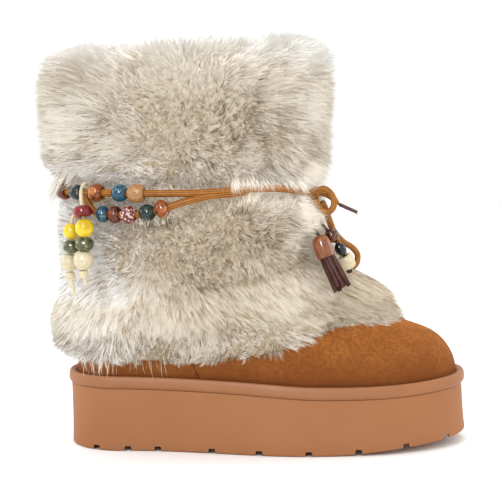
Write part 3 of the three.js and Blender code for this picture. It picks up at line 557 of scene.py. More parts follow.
def ramp(tree, value, *stops):
    node = tree.nodes.new("ShaderNodeValToRGB")
    tree.links.new(value, node.inputs[0])
    elements = node.color_ramp.elements
    while len(elements) < len(stops):
        elements.new(0.5)
    for element, (place, colour) in zip(elements, stops):
        element.position = place
        element.color = colour
    return node.outputs[0]


def grey(level):
    return (level, level, level, 1)


def srgb(red, green, blue):
    """A colour as it is on screen, from 0 to 255, for a shader."""
    def linear(level):
        share = level / 255
        return share / 12.92 if share <= 0.04045 else ((share + 0.055) / 1.055) ** 2.4
    return (linear(red), linear(green), linear(blue), 1)


def new_group(name, inputs, outputs):
    tree = bpy.data.node_groups.new(name, "ShaderNodeTree")
    for label, kind, value in inputs:
        socket = tree.interface.new_socket(label, in_out="INPUT", socket_type=kind)
        socket.default_value = value
    for label, kind in outputs:
        tree.interface.new_socket(label, in_out="OUTPUT", socket_type=kind)
    return tree, tree.nodes.new("NodeGroupInput").outputs, tree.nodes.new("NodeGroupOutput").inputs


def object_place(tree):
    return tree.nodes.new("ShaderNodeTexCoord").outputs["Object"]


def make_mottle():
    """Soft patches, from 0 to 1, in metres."""
    tree, given, out = new_group(
        "mottle",
        [("Scale", "NodeSocketFloat", 40.0), ("Contrast", "NodeSocketFloat", 2.0)],
        [("Patches", "NodeSocketFloat")],
    )
    noise = put(tree, "ShaderNodeTexNoise", Vector=object_place(tree), Scale=given["Scale"], Detail=4.0)
    middle = maths(tree, "SUBTRACT", noise.outputs[0], 0.5)
    spread = maths(tree, "MULTIPLY_ADD", middle, given["Contrast"], 0.5)
    tree.links.new(maths(tree, "MINIMUM", maths(tree, "MAXIMUM", spread, 0.0), 1.0), out[0])
    return tree


def make_grain():
    """A fine uneven face, as a normal."""
    tree, given, out = new_group(
        "grain",
        [("Scale", "NodeSocketFloat", 900.0), ("Height", "NodeSocketFloat", 0.0001)],
        [("Normal", "NodeSocketVector")],
    )
    place = object_place(tree)
    fine = put(tree, "ShaderNodeTexNoise", Vector=place, Scale=given["Scale"], Detail=3.0)
    wider = maths(tree, "MULTIPLY", given["Scale"], 0.22)
    coarse = put(tree, "ShaderNodeTexNoise", Vector=place, Scale=wider)
    both = maths(tree, "ADD", fine.outputs[0], coarse.outputs[0])
    bump = put(tree, "ShaderNodeBump", Height=both, Distance=given["Height"], Strength=1.0)
    tree.links.new(bump.outputs[0], out[0])
    return tree


def group_node(tree, group, **values):
    node = tree.nodes.new("ShaderNodeGroup")
    node.node_tree = bpy.data.node_groups[group]
    for key, value in values.items():
        socket = node.inputs[key]
        if isinstance(value, bpy.types.NodeSocket):
            tree.links.new(value, socket)
        else:
            socket.default_value = value
    return node.outputs[0]


def new_material(name, **values):
    material = bpy.data.materials.new(name)
    material.use_nodes = True
    shader = material.node_tree.nodes["Principled BSDF"]
    for key, value in values.items():
        shader.inputs[key.replace("_", " ")].default_value = value
    return material, material.node_tree, shader


def wire(tree, shader, **sockets):
    for key, socket in sockets.items():
        tree.links.new(socket, shader.inputs[key.replace("_", " ")])


# Materials
# Painted shade on the suede, darker towards the welt and lighter higher up: from what height, how fast a
# metre, and how softly it stops
suede_painted_shade = {"from": 0.036, "rise": 18.0, "soft": 0.3}
# Between which heights the woolly ground turns pale, as painted light towards the lit rim
ground_painted_light = (0.23, 0.262)


def make_suede():
    material, tree, shader = new_material(
        "suede", Roughness=0.92, Specular_IOR_Level=0.1, Sheen_Weight=0.2, Sheen_Roughness=0.55
    )
    shader.inputs["Sheen Tint"].default_value = srgb(210, 150, 90)
    patches = group_node(tree, "mottle", Scale=34.0, Contrast=2.4)
    nap = group_node(tree, "mottle", Scale=480.0, Contrast=5.0)
    colour = blended(tree, patches, srgb(152, 90, 36), srgb(190, 122, 57))
    # Painted shade: the suede darkens towards the welt and stays lighter higher up
    height = put(tree, "ShaderNodeSeparateXYZ", Vector=object_place(tree)).outputs["Z"]
    rise = maths(tree, "MULTIPLY", maths(tree, "SUBTRACT", height, suede_painted_shade["from"]), suede_painted_shade["rise"])
    low = maths(tree, "SMOOTH_MIN", rise, 1.0, suede_painted_shade["soft"])
    colour = blended(tree, maths(tree, "MAXIMUM", low, 0.0), srgb(92, 45, 20), colour)
    brushed = group_node(tree, "mottle", Scale=130.0, Contrast=2.6)
    colour = blended(tree, maths(tree, "MULTIPLY", brushed, 0.22), colour, srgb(108, 56, 24))
    colour = blended(tree, maths(tree, "MULTIPLY", nap, 0.55), colour, srgb(110, 58, 24))
    wire(tree, shader, Base_Color=colour, Normal=group_node(tree, "grain", Scale=1300.0, Height=0.00022))
    return material


def make_foam():
    material, tree, shader = new_material("foam_sole", Roughness=0.62, Specular_IOR_Level=0.25)
    patches = group_node(tree, "mottle", Scale=22.0, Contrast=1.6)
    specks = group_node(tree, "mottle", Scale=1300.0, Contrast=2.2)
    colour = blended(tree, patches, srgb(152, 98, 59), srgb(160, 107, 67))
    colour = blended(tree, maths(tree, "MULTIPLY", specks, 0.16), colour, srgb(128, 82, 50))
    wire(tree, shader, Base_Color=colour, Normal=group_node(tree, "grain", Scale=1700.0, Height=0.00005))
    return material


def make_welt_material():
    material, tree, shader = new_material("welt", Roughness=0.5, Specular_IOR_Level=0.36)
    patches = group_node(tree, "mottle", Scale=30.0, Contrast=1.5)
    colour = blended(tree, patches, srgb(143, 90, 52), srgb(155, 102, 62))
    wire(tree, shader, Base_Color=colour, Normal=group_node(tree, "grain", Scale=1400.0, Height=0.00003))
    return material


def make_fleece(name, dark, light):
    material, tree, shader = new_material(name, Roughness=0.95, Specular_IOR_Level=0.1, Sheen_Weight=0.3)
    cells = put(tree, "ShaderNodeTexVoronoi", Vector=object_place(tree), Scale=260.0)
    curls = cells.outputs["Distance"]
    # Each curl is paler at its crown and darker in the hollows between curls: partly the fleece's own
    # colour, partly painted shade
    colour = ramp(tree, curls, (0.1, light), (0.75, dark))
    bump = put(tree, "ShaderNodeBump", Height=curls, Distance=0.0012, Strength=0.9, invert=True)
    wire(tree, shader, Base_Color=colour, Normal=bump.outputs[0])
    return material


def make_ground_material():
    material, tree, shader = new_material("fur_skin", Roughness=0.95, Specular_IOR_Level=0.1)
    # The ground is darker than the hairs: partly the fur's own backing, partly painted shade of the deep
    # pile, as the hairs cast none
    locks = group_node(tree, "mottle", Scale=420.0, Contrast=3.0)
    height = put(tree, "ShaderNodeSeparateXYZ", Vector=object_place(tree)).outputs["Z"]
    # Painted light: the ground turns pale towards the rim
    pale = ramp(tree, height, (ground_painted_light[0], grey(0.0)), (ground_painted_light[1], grey(1.0)))
    colour = blended(tree, locks, srgb(138, 120, 98), srgb(186, 170, 147))
    wire(tree, shader, Base_Color=blended(tree, pale, colour, srgb(224, 215, 200)))
    return material


def make_hair():
    """Hair colour runs from the root (V 0) to the tip (V 1), the darker roots being painted shade. U is how
    pale the hair is, which carries painted light and shade.
    """
    material, tree, shader = new_material("hair", Roughness=0.75, Specular_IOR_Level=0.2)
    place = put(tree, "ShaderNodeUVMap", uv_map="OFBake").outputs[0]
    split = put(tree, "ShaderNodeSeparateXYZ", Vector=place)
    tone = split.outputs["X"]
    along = split.outputs["Y"]
    tips = ramp(
        tree, tone, (0.0, srgb(118, 97, 72)), (0.16, srgb(208, 192, 168)), (0.34, srgb(232, 220, 201)),
        (0.62, srgb(242, 233, 217)), (0.85, srgb(250, 245, 235)), (1.0, srgb(255, 254, 251)),
    )
    # Painted shade: roots darker than tips, in place of the shadow deep in the pile, as the hairs cast none
    roots = ramp(
        tree, tone, (0.0, srgb(96, 76, 56)), (0.3, srgb(168, 148, 122)), (0.62, srgb(218, 205, 183)),
        (0.85, srgb(238, 230, 217)), (1.0, srgb(251, 248, 243)),
    )
    share = ramp(tree, along, (0.0, grey(0.0)), (0.62, grey(1.0)))
    wire(tree, shader, Base_Color=blended(tree, share, roots, tips))
    return material


def make_cord_material():
    material, tree, shader = new_material("cord", Roughness=0.5, Specular_IOR_Level=0.22)
    patches = group_node(tree, "mottle", Scale=160.0, Contrast=2.0)
    colour = blended(tree, patches, srgb(152, 92, 26), srgb(184, 123, 44))
    # Painted shade: the cord darkens in the grooves between its ribs
    place = put(tree, "ShaderNodeUVMap", uv_map="lace").outputs[0]
    ridge = put(tree, "ShaderNodeSeparateXYZ", Vector=place).outputs["X"]
    colour = blended(tree, ramp(tree, ridge, (0.1, grey(0.0)), (0.6, grey(1.0))), srgb(98, 54, 20), colour)
    wire(tree, shader, Base_Color=colour, Normal=group_node(tree, "grain", Scale=1600.0, Height=0.00006))
    return material


def make_leather(name, dark, light, roughness, coat):
    material, tree, shader = new_material(
        name, Roughness=roughness, Specular_IOR_Level=0.25, Coat_Weight=coat, Coat_Roughness=0.1
    )
    patches = group_node(tree, "mottle", Scale=190.0, Contrast=2.2)
    colour = blended(tree, patches, dark, light)
    wire(tree, shader, Base_Color=colour, Normal=group_node(tree, "grain", Scale=1500.0, Height=0.0001))
    return material


def make_twine():
    material, tree, shader = new_material("twine", Roughness=0.7, Specular_IOR_Level=0.3)
    patches = group_node(tree, "mottle", Scale=300.0, Contrast=1.8)
    colour = blended(tree, patches, srgb(198, 184, 150), srgb(224, 213, 186))
    wire(tree, shader, Base_Color=colour, Normal=group_node(tree, "grain", Scale=1800.0, Height=0.00012))
    return material


def make_silver():
    material, tree, shader = new_material("silver", Metallic=1.0)
    patches = group_node(tree, "mottle", Scale=500.0, Contrast=1.5)
    colour = blended(tree, patches, srgb(190, 188, 184), srgb(226, 226, 224))
    rubbed = group_node(tree, "mottle", Scale=800.0, Contrast=2.0)
    wire(tree, shader, Base_Color=colour, Roughness=maths(tree, "MULTIPLY_ADD", rubbed, 0.2, 0.2))
    return material


def make_marble(name, dark, middle, light, scale, roughness):
    """A cloudy glossy bead."""
    material, tree, shader = new_material(
        name, Roughness=roughness, Specular_IOR_Level=0.35, Coat_Weight=0.35, Coat_Roughness=0.05
    )
    noise = put(
        tree, "ShaderNodeTexNoise", Vector=object_place(tree), Scale=scale, Detail=5.0, Roughness=0.6,
        Distortion=1.8
    )
    colour = ramp(tree, noise.outputs[0], (0.34, dark), (0.52, middle), (0.68, light))
    wire(tree, shader, Base_Color=colour, Normal=group_node(tree, "grain", Scale=500.0, Height=0.00004))
    return material


def make_spotted(name, ground, spots):
    material, tree, shader = new_material(name, Roughness=0.3, Coat_Weight=0.4, Coat_Roughness=0.12)
    cells = put(tree, "ShaderNodeTexVoronoi", Vector=object_place(tree), Scale=560.0, Randomness=0.85)
    colour = ramp(tree, cells.outputs["Distance"], (0.36, spots), (0.46, ground))
    wire(tree, shader, Base_Color=colour, Normal=group_node(tree, "grain", Scale=700.0, Height=0.00004))
    return material


def make_wood(name, dark, light, coat):
    material, tree, shader = new_material(name, Roughness=0.42, Coat_Weight=coat, Coat_Roughness=0.25)
    stretched = put(tree, "ShaderNodeMapping", Vector=object_place(tree), Scale=(260.0, 1500.0, 1500.0))
    noise = put(
        tree, "ShaderNodeTexNoise", Vector=stretched.outputs[0], Scale=1.0, Detail=4.0, Distortion=0.6
    )
    colour = ramp(tree, noise.outputs[0], (0.35, dark), (0.65, light))
    wire(tree, shader, Base_Color=colour, Normal=group_node(tree, "grain", Scale=900.0, Height=0.00005))
    return material


# Cloudy glossy beads: dark, middle and light colours, scale of the clouds, and roughness
marbles = {
    "tiger": ((40, 14, 2), (82, 38, 8), (128, 74, 28), 130.0, 0.08),
    "black_teal": ((2, 4, 5), (5, 13, 16), (14, 30, 34), 110.0, 0.06),
    "amber": ((44, 10, 2), (96, 34, 8), (150, 70, 22), 190.0, 0.12),
    "pine": ((0, 10, 10), (2, 28, 27), (12, 66, 58), 150.0, 0.12),
    "caramel": ((88, 34, 5), (142, 68, 16), (196, 122, 54), 200.0, 0.12),
    "teal": ((3, 34, 50), (10, 68, 92), (84, 146, 156), 320.0, 0.12),
    "red_resin": ((72, 0, 3), (126, 3, 9), (172, 14, 22), 120.0, 0.12),
    "yellow_resin": ((196, 160, 4), (218, 188, 14), (230, 206, 48), 90.0, 0.12),
    "olive_resin": ((46, 50, 26), (78, 82, 50), (122, 126, 90), 170.0, 0.12),
}
# Leather pieces: dark and light colours, roughness and coat
leathers = {
    "seam_shade": ((60, 24, 5), (84, 38, 10), 0.8, 0.0),
    "cap_leather": ((104, 50, 14), (142, 78, 28), 0.3, 0.7),
    "strip_leather": ((46, 16, 10), (82, 36, 24), 0.5, 0.05),
    "dark_string": ((30, 12, 8), (56, 24, 16), 0.45, 0.05),
    "lace_wrap": ((54, 28, 18), (88, 52, 36), 0.4, 0.1),
}


def make_materials():
    make_mottle()
    make_grain()
    materials = {
        "suede": make_suede(),
        "foam": make_foam(),
        "welt": make_welt_material(),
        "felt": make_fleece("insole_fleece", srgb(196, 180, 152), srgb(228, 216, 194)),
        "lining": make_fleece("shaft_fleece", srgb(206, 190, 164), srgb(240, 230, 212)),
        "skin": make_ground_material(),
        "hair": make_hair(),
        "cord": make_cord_material(),
        "twine": make_twine(),
        "silver": make_silver(),
        "ash_wood": make_wood("ash_wood", srgb(124, 78, 26), srgb(182, 134, 76), 0.35),
        "ivory_wood": make_wood("ivory_wood", srgb(190, 174, 140), srgb(216, 203, 172), 0.3),
        "russet": make_spotted("russet", srgb(92, 26, 20), srgb(226, 178, 166)),
    }
    for name, (dark, middle, light, scale, roughness) in marbles.items():
        materials[name] = make_marble(name, srgb(*dark), srgb(*middle), srgb(*light), scale, roughness)
    for name, (dark, light, roughness, coat) in leathers.items():
        materials[name] = make_leather(name, srgb(*dark), srgb(*light), roughness, coat)
    return materials


# Sole, welt, upper and insole
sole_columns = 300
upper_columns_count = 240
insole_columns = 120
sole_edge_rows = 6
sole_wall_rows = (0.25, 0.4, 0.55, 0.7, 0.85)
shoulder_rows = 5
sole_crisp_angle = 38
welt_rows = [(0.25, 0), (1, 0.22), (1, 0.62), (0.65, 0.88), (0.1, 1)]
welt_inner_rise = 0.9
welt_fine_rows = 17
tread_ends = (0.02, 0.985)
tread_cut = {"width": 0.0013, "depth": 0.0007, "half_length": 0.036, "a_bar": 3}
tread_heel = {"to": 0.4, "narrow": 0.66}
# The insole's edge from below: how far in and how far up, in metres
insole_rows = ((0, 0), (0, 0.0028), (0.0003, 0.0035), (0.0012, 0.004), (0.0042, 0.0042))


def cap_across(columns, start, flip):
    """Closes a ring that has the same places along the shoe on both sides."""
    j = np.arange(1, columns // 2 - 1)
    quads = np.stack([j, j + 1, columns - j - 1, columns - j], -1) + start
    half = columns // 2
    ends = np.array([[0, 1, columns - 1], [half - 1, half, half + 1]]) + start
    return (quads[:, ::-1], ends[:, ::-1]) if flip else (quads, ends)


def capped(rings):
    """Points and faces of rings, with the first and the last closed across the shoe."""
    rows, columns = rings.shape[:2]
    low_quads, low_ends = cap_across(columns, 0, True)
    high_quads, high_ends = cap_across(columns, (rows - 1) * columns, False)
    return rings.reshape(-1, 3), [grid_faces(rows, columns), low_quads, high_quads, low_ends, high_ends]


def box_mesh(low, high):
    corners = [[x, y, z] for z in (low[2], high[2]) for y in (low[1], high[1]) for x in (low[0], high[0])]
    faces = [[0, 2, 3, 1], [4, 5, 7, 6], [0, 1, 5, 4], [2, 6, 7, 3], [0, 4, 6, 2], [1, 3, 7, 5]]
    return np.array(corners), [np.array(faces)]


def cut(piece, parts):
    """Takes away solids from a piece."""
    points, faces = joined(parts)
    tool = mesh_object("tool", points, faces, piece.data.materials[0], piece["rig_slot"])
    modifier = piece.modifiers.new("cut", "BOOLEAN")
    modifier.operation = "DIFFERENCE"
    modifier.solver = "EXACT"
    modifier.object = tool
    bpy.context.view_layer.update()
    done = bpy.data.meshes.new_from_object(piece.evaluated_get(bpy.context.evaluated_depsgraph_get()))
    piece.modifiers.clear()
    piece.data = done
    bpy.data.objects.remove(tool)


def groove_bars():
    """Solids of the grooves across the tread, with an upright wall and a narrower roof."""
    bars = []
    for along in grooves:
        x = along * sole_length
        top = float(sole_bottom(np.array(x))) + groove_depth
        low = (x + heel_x - groove_width / 2, -ball_width, -groove_depth)
        high = (x + heel_x + groove_width / 2, ball_width, top * groove_wall["upright"])
        points, faces = box_mesh(low, high)
        roof = points[4:].copy()
        roof[:, 0] = x + heel_x + (roof[:, 0] - x - heel_x) * groove_wall["narrows_to"]
        roof[:, 2] = top
        walls = np.array([[4, 5, 9, 8], [6, 10, 11, 7], [4, 8, 10, 6], [5, 7, 11, 9], [8, 9, 11, 10]])
        points = np.concatenate([points, roof])
        bars.append((points, [np.concatenate([faces[0][[0, 2, 3, 4, 5]], walls])]))
    return bars


def tread_bars():
    """Fine cuts across the tread between the grooves, clear of the edge."""
    bars = []
    edges = [tread_ends[0]] + list(grooves) + [tread_ends[1]]
    count = tread_cut["a_bar"]
    heel_round = sole_section["heel_round"] * sole_length
    toe_round = sole_section["toe_round"] * sole_length
    half = tread_cut["width"] / 2
    for start, end in zip(edges[:-1], edges[1:]):
        for i in range(count):
            x = (start + (end - start) * (i + 1) / (count + 1)) * sole_length
            middle = toe_swing * float(smooth_step(np.array(x / sole_length), swinging))
            narrow = float(round_end(x / heel_round) * round_end((sole_length - x) / toe_round))
            heel = tread_heel["narrow"] if x < tread_heel["to"] * sole_length else 1
            reach = tread_cut["half_length"] * narrow * heel
            top = float(sole_bottom(np.array(x))) + tread_cut["depth"]
            low = (x + heel_x - half, middle - reach, -groove_depth)
            bars.append(box_mesh(low, (x + heel_x + half, middle + reach, top)))
    return bars


def toe_lean(angle, share):
    """How far the toe end of the sole stands out, from its foot to its top."""
    lean = toe_flare["low"] + (toe_flare["high"] - toe_flare["low"]) * share
    return lean * smooth_step(np.cos(angle), toe_flare["from"])


def sole_rings():
    angle = turns(sole_columns)
    rings = []
    for turn in np.linspace(0, math.pi / 2, sole_edge_rows):
        out = -sole_edge_round * (1 - math.sin(turn)) + toe_lean(angle, 0)
        rise = sole_edge_round * (1 - math.cos(turn))
        rings.append(sole_ring(angle, out, 0, lambda x: sole_bottom(x) + rise))
    for share in sole_wall_rows:
        out = -sole_hollow * math.sin(share * math.pi) + toe_lean(angle, share)
        height = lambda x: sole_bottom(x) + (sole_top(x) - sole_bottom(x)) * share
        rings.append(sole_ring(angle, out, sole_set_back * share, height))
    for turn in np.linspace(0, math.pi / 2, shoulder_rows):
        out = -sole_shoulder * (1 - math.cos(turn)) + toe_lean(angle, 1)
        drop = sole_shoulder * (1 - math.sin(turn))
        rings.append(sole_ring(angle, out, sole_set_back, lambda x: sole_top(x) - drop))
    return np.array(rings)


def make_sole(material):
    points, faces = capped(sole_rings())
    sole = mesh_object("sole_block", points, faces, material, "foam_sole", ["sole"])
    cut(sole, groove_bars() + tread_bars())
    shade_by_angle(sole, sole_crisp_angle)


def shade_by_angle(piece, degrees):
    mesh = bmesh.new()
    mesh.from_mesh(piece.data)
    limit = math.radians(degrees)
    for edge in mesh.edges:
        edge.smooth = len(edge.link_faces) == 2 and edge.calc_face_angle(0) < limit
    for face in mesh.faces:
        face.smooth = True
    mesh.to_mesh(piece.data)
    mesh.free()


def make_welt(material):
    angle = turns(sole_columns)
    rows = np.array(welt_rows, float)
    fine = read_smooth(np.linspace(0, len(rows) - 1, welt_fine_rows), np.arange(len(rows)), rows)
    rings = [upper_face(heel_stack, angle, welt_gap)]
    rings[0][:, 2] = sole_top(rings[0][:, 0] - heel_x) + gap
    for out, rise in fine:
        height = lambda x: sole_top(x) + gap + rise * welt_height
        rings.append(sole_ring(angle, out * welt_bulge, welt_set_back, height))
    rings.append(upper_face(heel_stack + welt_height * welt_inner_rise, angle, welt_gap))
    points, faces = loft(np.array(rings), closed=True)
    mesh_object("welt_rim", points, faces, material, "rolled_welt", ["welt"])


# Soft troughs in the suede, in millimetres: start and end as length and height, depth and half width.
side_seam = {"foot": (89.8, 47.5), "head": (84.2, 60.5), "depth": 0.6, "width": 1.0}
seam_ridge = {"height": 0.5, "aside": 1.6, "width": 1.1, "below": 75, "between": (60, 110)}
seam_line = {"radius": 0.00034, "bow": 0.7, "aside": 0.8, "from": -0.08, "to": 1.15, "points": 14}
suede_wave = 0.12
creases = [
    ((118, 66), (150, 62), 0.5, 3.5), ((150, 78), (176, 66), 0.6, 4.0), ((196, 80), (214, 66), 0.45, 4.5),
    ((60, 58), (78, 55), 0.5, 3.0), ((16, 60), (34, 56), 0.5, 3.0), ((108, 56), (128, 54), 0.35, 2.6),
]
# How a trough fades in and out along its length, the rows of the upper, and the angles that a side covers
trough_fade = {"in": (-0.15, 0.2), "out": (0.8, 1.15)}
upper_rows_made = {"foot": 58, "shaft": 20, "foot_share": 0.36, "inner_step": 3}
side_sweep = (0.2, 2.9, 900)


def trough(x, z, start, end, depth, width):
    """How deep a soft trough is at a place, in the same units."""
    start = np.array(start, float)
    way = np.array(end, float) - start
    share = ((x - start[0]) * way[0] + (z - start[1]) * way[1]) / (way @ way)
    aside = ((x - start[0]) * way[1] - (z - start[1]) * way[0]) / np.linalg.norm(way)
    fade = smooth_step(share, trough_fade["in"]) * (1 - smooth_step(share, trough_fade["out"]))
    return depth * fade * np.exp(-((aside / width) ** 2)), aside


def suede_relief(points):
    """How far the suede stands in or out from its plain shape, in metres."""
    x = (points[..., 0] - heel_x) * 1000
    z = points[..., 2] * 1000
    relief = np.zeros(x.shape)
    for start, end, depth, width in creases:
        relief -= trough(x, z, start, end, depth, width)[0]
    seam, aside = trough(x, z, side_seam["foot"], side_seam["head"], side_seam["depth"], side_seam["width"])
    below = z < seam_ridge["below"]
    first, last = seam_ridge["between"]
    ridge = np.exp(-(((aside + seam_ridge["aside"]) / seam_ridge["width"]) ** 2))
    relief -= seam * below
    relief += seam_ridge["height"] * ridge * below * (x < last) * (x > first)
    soft = np.sin(x * 0.21 + z * 0.13) * np.sin(z * 0.27 - x * 0.07)
    return (relief + suede_wave * soft) / 1000


def grid_normals(points):
    around = np.roll(points, -1, 1) - np.roll(points, 1, 1)
    up = np.gradient(points, axis=0)
    return unit(np.cross(around, up))


def make_upper(suede, lining):
    angle = turns(upper_columns_count)
    foot_share = upper_rows_made["foot_share"]
    foot = np.linspace(0, foot_share, upper_rows_made["foot"])
    rises = np.concatenate([foot, np.linspace(foot_share, 1, upper_rows_made["shaft"])[1:]])
    face = upper_face(heel_stack + rises[:, None] * upper_height, angle[None, :])
    normals = grid_normals(face)
    inner = (face - wall * normals)[::upper_rows_made["inner_step"]]
    inner[0, :, 2] = face[0, :, 2]
    inner[-1, :, 2] = collar_level
    outer = face + suede_relief(face)[..., None] * normals
    outer[-1] = face[-1]
    rings = np.concatenate([outer, inner[::-1]])
    points, faces = loft(rings, closed=True)
    upper = mesh_object("suede_upper", points, faces, suede, "suede", ["upper"])
    upper.data.materials.append(lining)
    columns = upper_columns_count
    looks = np.zeros(len(faces[0]), np.int32)
    looks[len(outer) * columns:] = 1
    upper.data.polygons.foreach_set("material_index", looks)


def seam_lines(material):
    """The dark curved line of each side seam."""
    share = np.linspace(seam_line["from"], seam_line["to"], seam_line["points"])
    foot_x, foot_z = side_seam["foot"]
    head_x, head_z = side_seam["head"]
    bow = seam_line["bow"] * 4 * share * (1 - share)
    lengths = foot_x + (head_x - foot_x) * share + seam_line["aside"] - bow
    heights = foot_z + (head_z - foot_z) * share
    paths = [suede_path(lengths, heights, side) for side in (-1, 1)]
    points, faces = joined([loft(tube_rings(path, seam_line["radius"], 6)) for path in paths])
    mesh_object("side_seam_lines", points, faces, material, "suede")


def suede_path(lengths, heights, side):
    """Points on one side of the suede at lengths and heights in millimetres."""
    angles = side * np.linspace(*side_sweep)
    path = []
    for length, height in zip(lengths, heights):
        face = upper_face(np.full(len(angles), height / 1000), angles)
        path.append(face[np.abs(face[:, 0] - heel_x - length / 1000).argmin()])
    return np.array(path)


def make_insole(material):
    angle = turns(insole_columns)
    rings = []
    for inset, rise in insole_rows:
        ring = upper_face(heel_stack, angle, -wall - gap - inset)
        ring[:, 2] = sole_top(ring[:, 0] - heel_x) + gap + rise
        rings.append(ring)
    points, faces = capped(np.array(rings))
    mesh_object("insole_pad", points, faces, material, "insole_felt", ["insole"])


# Fur
fur_grid_rows = 193
fur_grid_columns = 360
lay_share = 0.3
area_share = 0.8
# The woolly ground's height as shares of the pile, and the step over the fur's grid
ground_depth = {"middle": 0.44, "hem": 0.2, "inside": 0.3, "tufts": 0.05, "step": 3}
root_stand = 0.0005
inside_pile = -wall - inner_pile
inside_level = collar_level - inner_pile_depth


def fur_grids():
    """The face the fur grows from and its outer face, as grids of points from the hem over the rim."""
    angle = turns(fur_grid_columns)
    levels = []
    piles = []
    for row in skirt_rows:
        levels.append(hem_level(angle) + row[0] * (cord_level - hem_level(angle)))
        piles.append(pile_of(row, angle, skirt_pile))
    for row in cuff_rows:
        levels.append(cord_level + row[0] * (rim_level_at(angle) - cord_level))
        piles.append(pile_of(row, angle, cuff_pile))
    levels.append(np.full(fur_grid_columns, inside_level))
    piles.append(np.full(fur_grid_columns, inside_pile))
    places = np.arange(len(levels), dtype=float)
    fine = np.linspace(0, len(levels) - 1, fur_grid_rows)
    level = read_smooth(fine, places, np.array(levels))
    pile = read_smooth(fine, places, np.array(piles))
    around = np.broadcast_to(angle, level.shape)
    tips = upper_face(level, around, pile, flat=True)
    base_level = np.minimum(level, collar_level + gap)
    roots = upper_face(base_level, around, np.clip(pile, -wall - gap, root_stand), flat=True)
    roots[..., 2] = base_level
    return roots, tips


class FurField:
    """The fur's place, outward direction and tangents anywhere on its grid."""

    def __init__(self):
        self.roots, self.tips = fur_grids()
        self.out = grid_normals(self.tips)
        self.around = unit(np.roll(self.tips, -1, 1) - np.roll(self.tips, 1, 1))
        self.lay = unit(np.gradient(self.roots + lay_share * (self.tips - self.roots), axis=0))
        middle = self.roots + area_share * (self.tips - self.roots)
        down = np.linalg.norm(middle[1:] - middle[:-1], axis=2)
        across = np.linalg.norm(np.roll(middle, -1, 1) - middle, axis=2)[:-1]
        self.area = down * across

    def read(self, grid, row, column):
        i = np.clip(row.astype(int), 0, fur_grid_rows - 2)
        j = column.astype(int) % fur_grid_columns
        beside = (j + 1) % fur_grid_columns
        u = (row - i)[:, None]
        v = (column - np.floor(column))[:, None]
        low = grid[i, j] * (1 - v) + grid[i, beside] * v
        high = grid[i + 1, j] * (1 - v) + grid[i + 1, beside] * v
        return low * (1 - u) + high * u


def make_fur_skin(field, material):
    """The closed woolly ground under the hairs."""
    every = slice(None, None, ground_depth["step"])
    roots = field.roots[every, every]
    tips = field.tips[every, every]
    x, y, z = np.moveaxis(tips, -1, 0) * 1000
    tufts = ground_depth["tufts"] * np.sin(x * 0.9 + 2 * np.sin(z * 0.35)) * np.sin(z * 0.8 + y * 0.7)
    depth = ground_depth["middle"] + tufts
    depth[0] = ground_depth["hem"]
    depth[-1] = ground_depth["inside"]
    outer = roots + depth[..., None] * (tips - roots)
    inner = roots[::-2]
    points, faces = loft(np.concatenate([outer, inner]), closed=True)
    mesh_object("fur_ground", points, faces, material, "faux_fur", ["fur_sleeve"])


# Hairs: a ribbon of three triangles each, in tufts within clumps, over a down of shorter straight hairs
hair_width = 0.00027
down_width = 0.00034
lock_width = 0.00036
# How far hairs reach as a share of the pile, and how much they differ as a share of the usual
hair_reach = (0.95, 1.0)
rim_reach = (1.06, 0.4)
down_reach = (0.87, 1.0)
hairs_a_tuft = 7
tufts_a_clump = 5
clump_spread = 0.0022
tuft_spread = 0.0006
clump_lean = 0.0012
tuft_lean = 0.0011
# Where the skirt, the cuff and the rim lie among the rows of the fur's outer face
skirt_places = (0.0, 11.0)
cuff_places = (11.0, 19.6)
rim_places = (19.6, 25.0)
last_place = 25
# How hairs stand, as shares of the pile: where their roots are, and how much clumps, tufts and hairs differ
root_share = 0.42
root_spread = 0.05
reach_spread = {"clump": 0.022, "tuft": 0.02, "hair": 0.035}
tuft_pull = {"mean": 0.4, "spread": 0.12}
tip_spread = 0.0004
hair_bow = 0.13
moving_span = 0.5
crease_dip = 0.3
crease_half_width = 0.0032
# How a hair's ribbon turns about its own length, how wide it is, and how its shading leans
hair_ribbon = {"tilt": 0.9, "least": 0.8, "spread": 0.4, "middle": 0.42}
hair_normal = {"spread": 0.45, "way": 0.35, "least_rise": 0.1}
# Where along itself a hair's colour is read, and how far its two edges differ in tone
hair_v = {"root": 0.02, "middle": 0.5, "tip": 0.98}
hair_edge_u = 0.004
# The lay of the fur in metres up. The skirt's runs from hem to cord. The cuff's leans away from the level
# where it stands straight out, and falls towards the front.
skirt_lay = ((0.0, 0.08, 0.28, 0.62, 1.0), (-0.0022, -0.0042, -0.0085, -0.001, 0.0034))
cuff_lay = {"level": 0.212, "over": 0.05, "least": -1.4, "lean": 0.0042, "falls": (0.12, 0.165)}
skirt_centre = 0.09
# Slow waves in the lay: how far, how fast along x, y and z, and where they start
waves_up = [(0.0014, 95, 40, 60, 0), (0.0009, -120, 0, 210, 0)]
waves_around = [(0.0022, 48, 0, 75, 1.2), (0.0013, 170, 60, -110, 0)]
fur_crease = [(0.091, 0.1113), (0.1286, 0.1167), (0.1587, 0.1278)]
